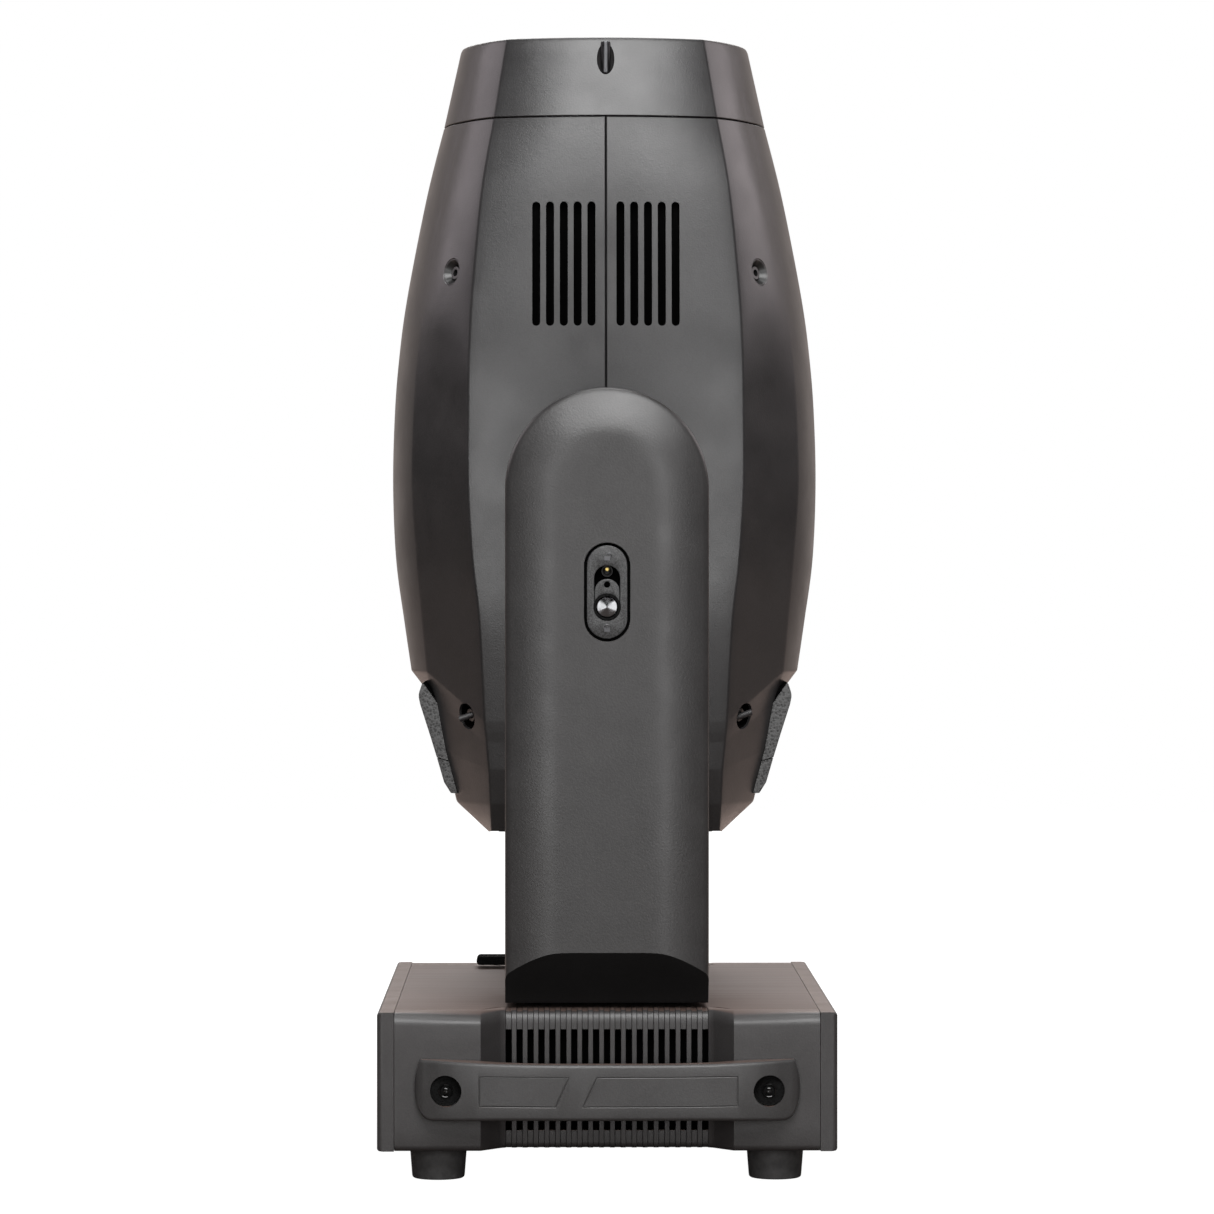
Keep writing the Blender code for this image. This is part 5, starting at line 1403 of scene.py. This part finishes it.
def display_panel():
    """The panel with the display behind its window, two buttons and the knob."""
    spots = ((0.060, 0.069, 0.0053), (0.060, 0.048, 0.0053), (KNOB_Y, CONTROLS_Z, 0.0098))
    holes = [drum("hole", radius, 0.03, -0.01, (0.1190, y, z), "X", steps=40) for y, z, radius in spots]
    field = side_on("field", 0.0875, 0.0270, 0.006, -0.0025, 0.1280, 0.1400)
    pocket = side_on("pocket", 0.0343, 0.0193, 0.0015, DISPLAY_Y, 0.1255, 0.1400)
    end_panel("display_side", 1, holes, "display_panel", (field, pocket))
    pane = side_on("display_glass_pane", 0.0340, 0.0190, 0.0014, DISPLAY_Y, 0.1258, 0.1283, "screen")
    finished(softened(pane, 0.0003), "base", "screen", "display_window")
    bars = []
    for k, width in enumerate((0.020, 0.028, 0.016)):
        y, z = -0.062 - 0.009, 0.0655 - k * 0.0085
        bars.append(block("bar", (0.12835, y, z - 0.0011), (0.12845, y + width, z + 0.0011)))
    finished(merged("display_lines", bars, "ink"), "base", "screen")
    cap = [(0, 0.0084), (0.0030, 0.0084), (0.0042, 0.0082), (0.0049, 0.0076), (0.0050, 0.0068)]
    cap += [(0.0050, 0.0), (0, 0)]
    for word, z in (("menu", 0.069), ("enter", 0.048)):
        key = turned(f"button_{word}_cap", cap, (BUTTON_X, 0.060, z), "X", "satin_black", 40)
        finished(key, f"{word}_button", "black_plastic", f"button_{word}")
    knob()


def knob():
    """The encoder's knob, with a fluted side."""
    steps = 96
    rings = []
    for radius, height, flute in ((0.0094, 0.0, 0.0), (0.0094, 0.0010, 0.0004), (0.0094, 0.0068, 0.0004),
                                  (0.0090, 0.0078, 0.0001), (0.0080, 0.0085, 0.0), (0.0060, 0.0085, 0.0),
                                  (0.0050, 0.0080, 0.0)):
        ring = []
        for k in range(steps):
            a = 2 * math.pi * k / steps
            r = radius - flute * (0.5 + 0.5 * math.cos(24 * a))
            ring.append((BUTTON_X + height, KNOB_Y + r * math.cos(a), CONTROLS_Z + r * math.sin(a)))
        rings.append(ring)
    dial = lofted("encoder_dial", rings, "satin_black")
    finished(dial, "encoder", "black_plastic", "encoder_knob")
    mark = block("dial_mark", (0.12935, 0.0297, 0.0620), (0.12975, 0.0303, 0.0650), "ink")
    finished(mark, "encoder", "black_plastic")


SOCKETS = (  # name, Y, look, slot, bore and the angles of the contacts, in half turns
    ("power_inlet", -0.100, "blue", "connector_blue", 0.0100, (1 / 2, 5 / 4, 7 / 4)),
    ("dmx_in", 0.040, "dark_steel", "steel", 0.0088, (1 / 2, 7 / 6, 11 / 6)),
    ("dmx_out", 0.090, "dark_steel", "steel", 0.0088, (1 / 2, 5 / 4, 7 / 4)),
)


def on_back(name, profile, y, look=None, steps=48, z=CONTROLS_Z):
    """A turned solid that stands out of the connector panel."""
    return turned(name, profile, (-SEAT_X, y, z), "-X", look, steps)


def connector_panel():
    """The panel with the power inlet, the two data sockets and the fuse."""
    hole = [(0, 0.03), (0.0128, 0.03), (0.0128, 0.0062), (0.0118, 0.0062), (0.0118, -0.01), (0, -0.01)]
    holes = [on_back("hole", hole, socket[1], steps=64) for socket in SOCKETS]
    fuse = [(0, 0.03), (0.0063, 0.03), (0.0063, 0.0070), (0, 0.0070)]
    holes.append(on_back("fuse_seat", fuse, FUSE_Y))
    end_panel("connector_side", -1, holes, "connector_panel")
    cap = [(0, 0.0084), (0.0040, 0.0084), (0.0052, 0.0080), (0.0060, 0.0072), (0.0060, 0.0071), (0, 0.0071)]
    fuse_cap = on_back("fuse_cap", cap, FUSE_Y, "satin_black", 40)
    slot = block("slot", (-0.1310, -0.0553 - 0.0032, 0.0565), (-0.1284, -0.0547 + 0.0032, 0.0575))
    finished(combined(fuse_cap, slot), "base", "black_plastic")
    for name, y, look, slot_name, bore, angles in SOCKETS:
        cup = [(0, -0.006), (bore, -0.006), (bore, 0.0086), (bore + 0.0004, 0.0090)]
        cup += [(0.0120, 0.0090), (0.0125, 0.0085), (0.0125, 0.0065), (0.0115, 0.0065)]
        cup += [(0.0115, -0.010), (0, -0.010)]
        finished(on_back(f"{name}_shell", cup, y, look, 64), "base", slot_name, name)
        liner = [(0, -0.0058), (bore - 0.0001, -0.0058), (bore - 0.0001, 0.0070)]
        liner += [(bore - 0.0012, 0.0070), (bore - 0.0012, -0.0040), (0, -0.0040)]
        finished(on_back(f"{name}_insert", liner, y, "black"), "base", "black_plastic")
        pin = [(0, 0.0060), (0.0007, 0.0058), (0.0011, 0.0050), (0.0011, -0.0042), (0, -0.0042)]
        for k, angle in enumerate(angles):
            a = math.pi * angle
            pin_y, pin_z = y + 0.0040 * math.cos(a), CONTROLS_Z + 0.0040 * math.sin(a)
            contact = on_back(f"{name}_contact_{k}", pin, pin_y, "brass", 20, pin_z)
            finished(contact, "base", "steel")


def bracket_receivers():
    """Threaded sockets for brackets in the base's underside."""
    ring = [(0.0085, 0.0), (0.0085, 0.0007), (0.0080, 0.0012), (0.0053, 0.0012), (0.0050, 0.0007),
            (0.0048, -0.0030), (0.0062, -0.0030), (0.0062, 0.0)]
    for k, (x, y) in enumerate(corners(0.053, 0.100)):
        piece = turned(f"bracket_socket_{k}", ring[::-1], (x, y, BASE_LOW_Z), "-Z", "steel")
        finished(piece, "base", "steel")


# ---------------------------------------------------------------- kept CAD nodes
KEPT = {
    "top": ("base_top",),
    "tray": ("base_tray", "yoke_frame"),
    "aluminium": ("pan_shaft", "power_supply", "chassis_near", "chassis_far", "tilt_pulley", "heat_sink",
                  "optics_frame"),
    "steel": ("tilt_bearing_near", "tilt_bearing_far", "pan_pinion", "tilt_pinion", "led_engine"),
    "dark_steel": ("pan_motor", "tilt_motor", "gobo_wheel"),
    "rubber": ("pan_belt", "tilt_belt"),
    "coated": ("color_wheel",),
    "satin_black": ("focus_carriage", "zoom_carriage"),
}


def finish_kept_nodes():
    for look, names in KEPT.items():
        for name in names:
            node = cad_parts[name]
            node.data.materials.clear()
            node.data.materials.append(MATERIALS[look])


# ---------------------------------------------------------------- camera, light and floor
def area_light(name, at, towards, size, energy, colour=(1, 1, 1)):
    light = bpy.data.lights.new(name, "AREA")
    light.shape = "RECTANGLE"
    light.size, light.size_y = size
    light.energy = energy
    light.color = colour
    obj = bpy.data.objects.new(name, light)
    bpy.context.scene.collection.objects.link(obj)
    obj.location = at
    obj.rotation_euler = looking(at, towards)
    obj.visible_camera = False


EYE_AT, AIM_AT = (-0.0279, -2.909, 0.349), (0.0016, 0.0, 0.3238)
FOCAL_LENGTH, SENSOR_WIDTH = 143.8, 36.0


def looking(start, end):
    """The rotation of a camera or a light at one point that looks at another."""
    return (Vector(end) - Vector(start)).to_track_quat("-Z", "Y").to_euler()


def studio():
    scene = bpy.context.scene
    scene.view_settings.view_transform = "Standard"
    camera = bpy.data.cameras.new("camera")
    camera.lens = FOCAL_LENGTH
    camera.sensor_width = SENSOR_WIDTH
    camera.clip_end = 100.0
    eye = bpy.data.objects.new("camera", camera)
    scene.collection.objects.link(eye)
    eye.location = EYE_AT
    eye.rotation_euler = looking(EYE_AT, AIM_AT)
    scene.camera = eye

    light_the_room(scene)
    for word, x in (("left", -0.62), ("right", 0.62)):
        area_light(f"front_{word}", (x, -1.95, 0.41), (0, 0, 0.41), (0.72, 0.76), 9.2)
    area_light("front_high", (0.10, -1.45, 1.70), (0, 0, 0.45), (1.70, 1.20), 60)
    area_light("overhead", (0.0, 0.1, 2.3), (0, 0, 0.3), (1.0, 1.2), 18)
    area_light("side_left", (-1.60, 0.45, 1.38), (0, 0, 1.38), (1.1, 1.1), 9.4, (1.0, 0.90, 0.94))
    area_light("side_right", (1.60, 0.45, 1.38), (0, 0, 1.38), (1.1, 1.1), 12.0, (1.0, 0.90, 0.92))
    area_light("back_high", (0.0, 1.75, 1.95), (0, 0, 0.4), (1.9, 1.1), 34)
    lay_floor()


def mixed(tree, share, first, second, output):
    """Sends a mix of two shaders to an output."""
    mix = tree.nodes.new("ShaderNodeMixShader")
    for source, target in zip((share, first.outputs[0], second.outputs[0]), mix.inputs):
        tree.links.new(source, target)
    tree.links.new(mix.outputs[0], output.inputs["Surface"])


def light_the_room(scene):
    """A white backdrop to look at, which lights the object softly, more from behind."""
    world = bpy.data.worlds.new("studio")
    scene.world = world
    world.use_nodes = True
    tree = world.node_tree
    nodes, links = tree.nodes, tree.links
    direction = nodes.new("ShaderNodeTexCoord").outputs["Generated"]
    behind = mapped(tree, split_axes(tree, direction)["Y"], 0.45, 0.88, 0.02, 0.60, smooth=True)
    soft = nodes["Background"]
    soft.inputs["Color"].default_value = (1.0, 0.87, 0.81, 1.0)
    links.new(behind, soft.inputs["Strength"])
    white = new_node(nodes, "ShaderNodeBackground", color=(1.0, 1.0, 1.0, 1.0))
    seen = nodes.new("ShaderNodeLightPath").outputs["Is Camera Ray"]
    mixed(tree, seen, soft, white, nodes["World Output"])


def lay_floor():
    """A plain floor that runs into the white backdrop, with a soft shadow under the object. Reflections and
    bounce light see its warm colour, darker in front of the object as painted shade.
    """
    bm = bmesh.new()
    bmesh.ops.create_circle(bm, cap_ends=True, segments=96, radius=4.0)
    floor = placed("studio_floor", bm)
    look = Look("floor_paper", (0.62, 0.49, 0.43), 0.9)
    nodes, links = look.nodes, look.links
    # Painted shade: the floor's colour darkens towards the front, which only reflections and bounce light
    # see.
    look.tint(look.spread(split_axes(look.tree, look.place)["Y"], 0.0, 1.0, -0.05, 0.25), 0.14, 1.0)
    reach = nodes.new("ShaderNodeVectorMath")
    reach.operation = "LENGTH"
    links.new(look.place, reach.inputs[0])
    fade = mapped(look.tree, reach.outputs["Value"], 0.25, 0.8, 0.84, 1.0, smooth=True)
    paper = new_node(nodes, "ShaderNodeEmission", strength=1.2)
    share = nodes.new("ShaderNodeMath")
    share.operation = "MULTIPLY"
    links.new(nodes.new("ShaderNodeLightPath").outputs["Is Camera Ray"], share.inputs[0])
    links.new(fade, share.inputs[1])
    mixed(look.tree, share.outputs[0], look.shader, paper, nodes["Material Output"])
    floor.data.materials.append(look.material)


def build():
    for word, hand in HANDS:
        head_shell(word, hand)
    shade_behind_vents()
    shade_behind_seams()
    bezel()
    front_lens()
    intake_pads()
    rear_guard()
    fan()
    for word, side in SIDES:
        arm_cover(word, side)
        arm_inner(word, side)
        side_cover(word, side)
        handle(word, side)
    tilt_lock()
    pan_lock()
    bridge()
    handle_bolts()
    feet()
    display_panel()
    connector_panel()
    bracket_receivers()
    finish_kept_nodes()
    studio()


build()
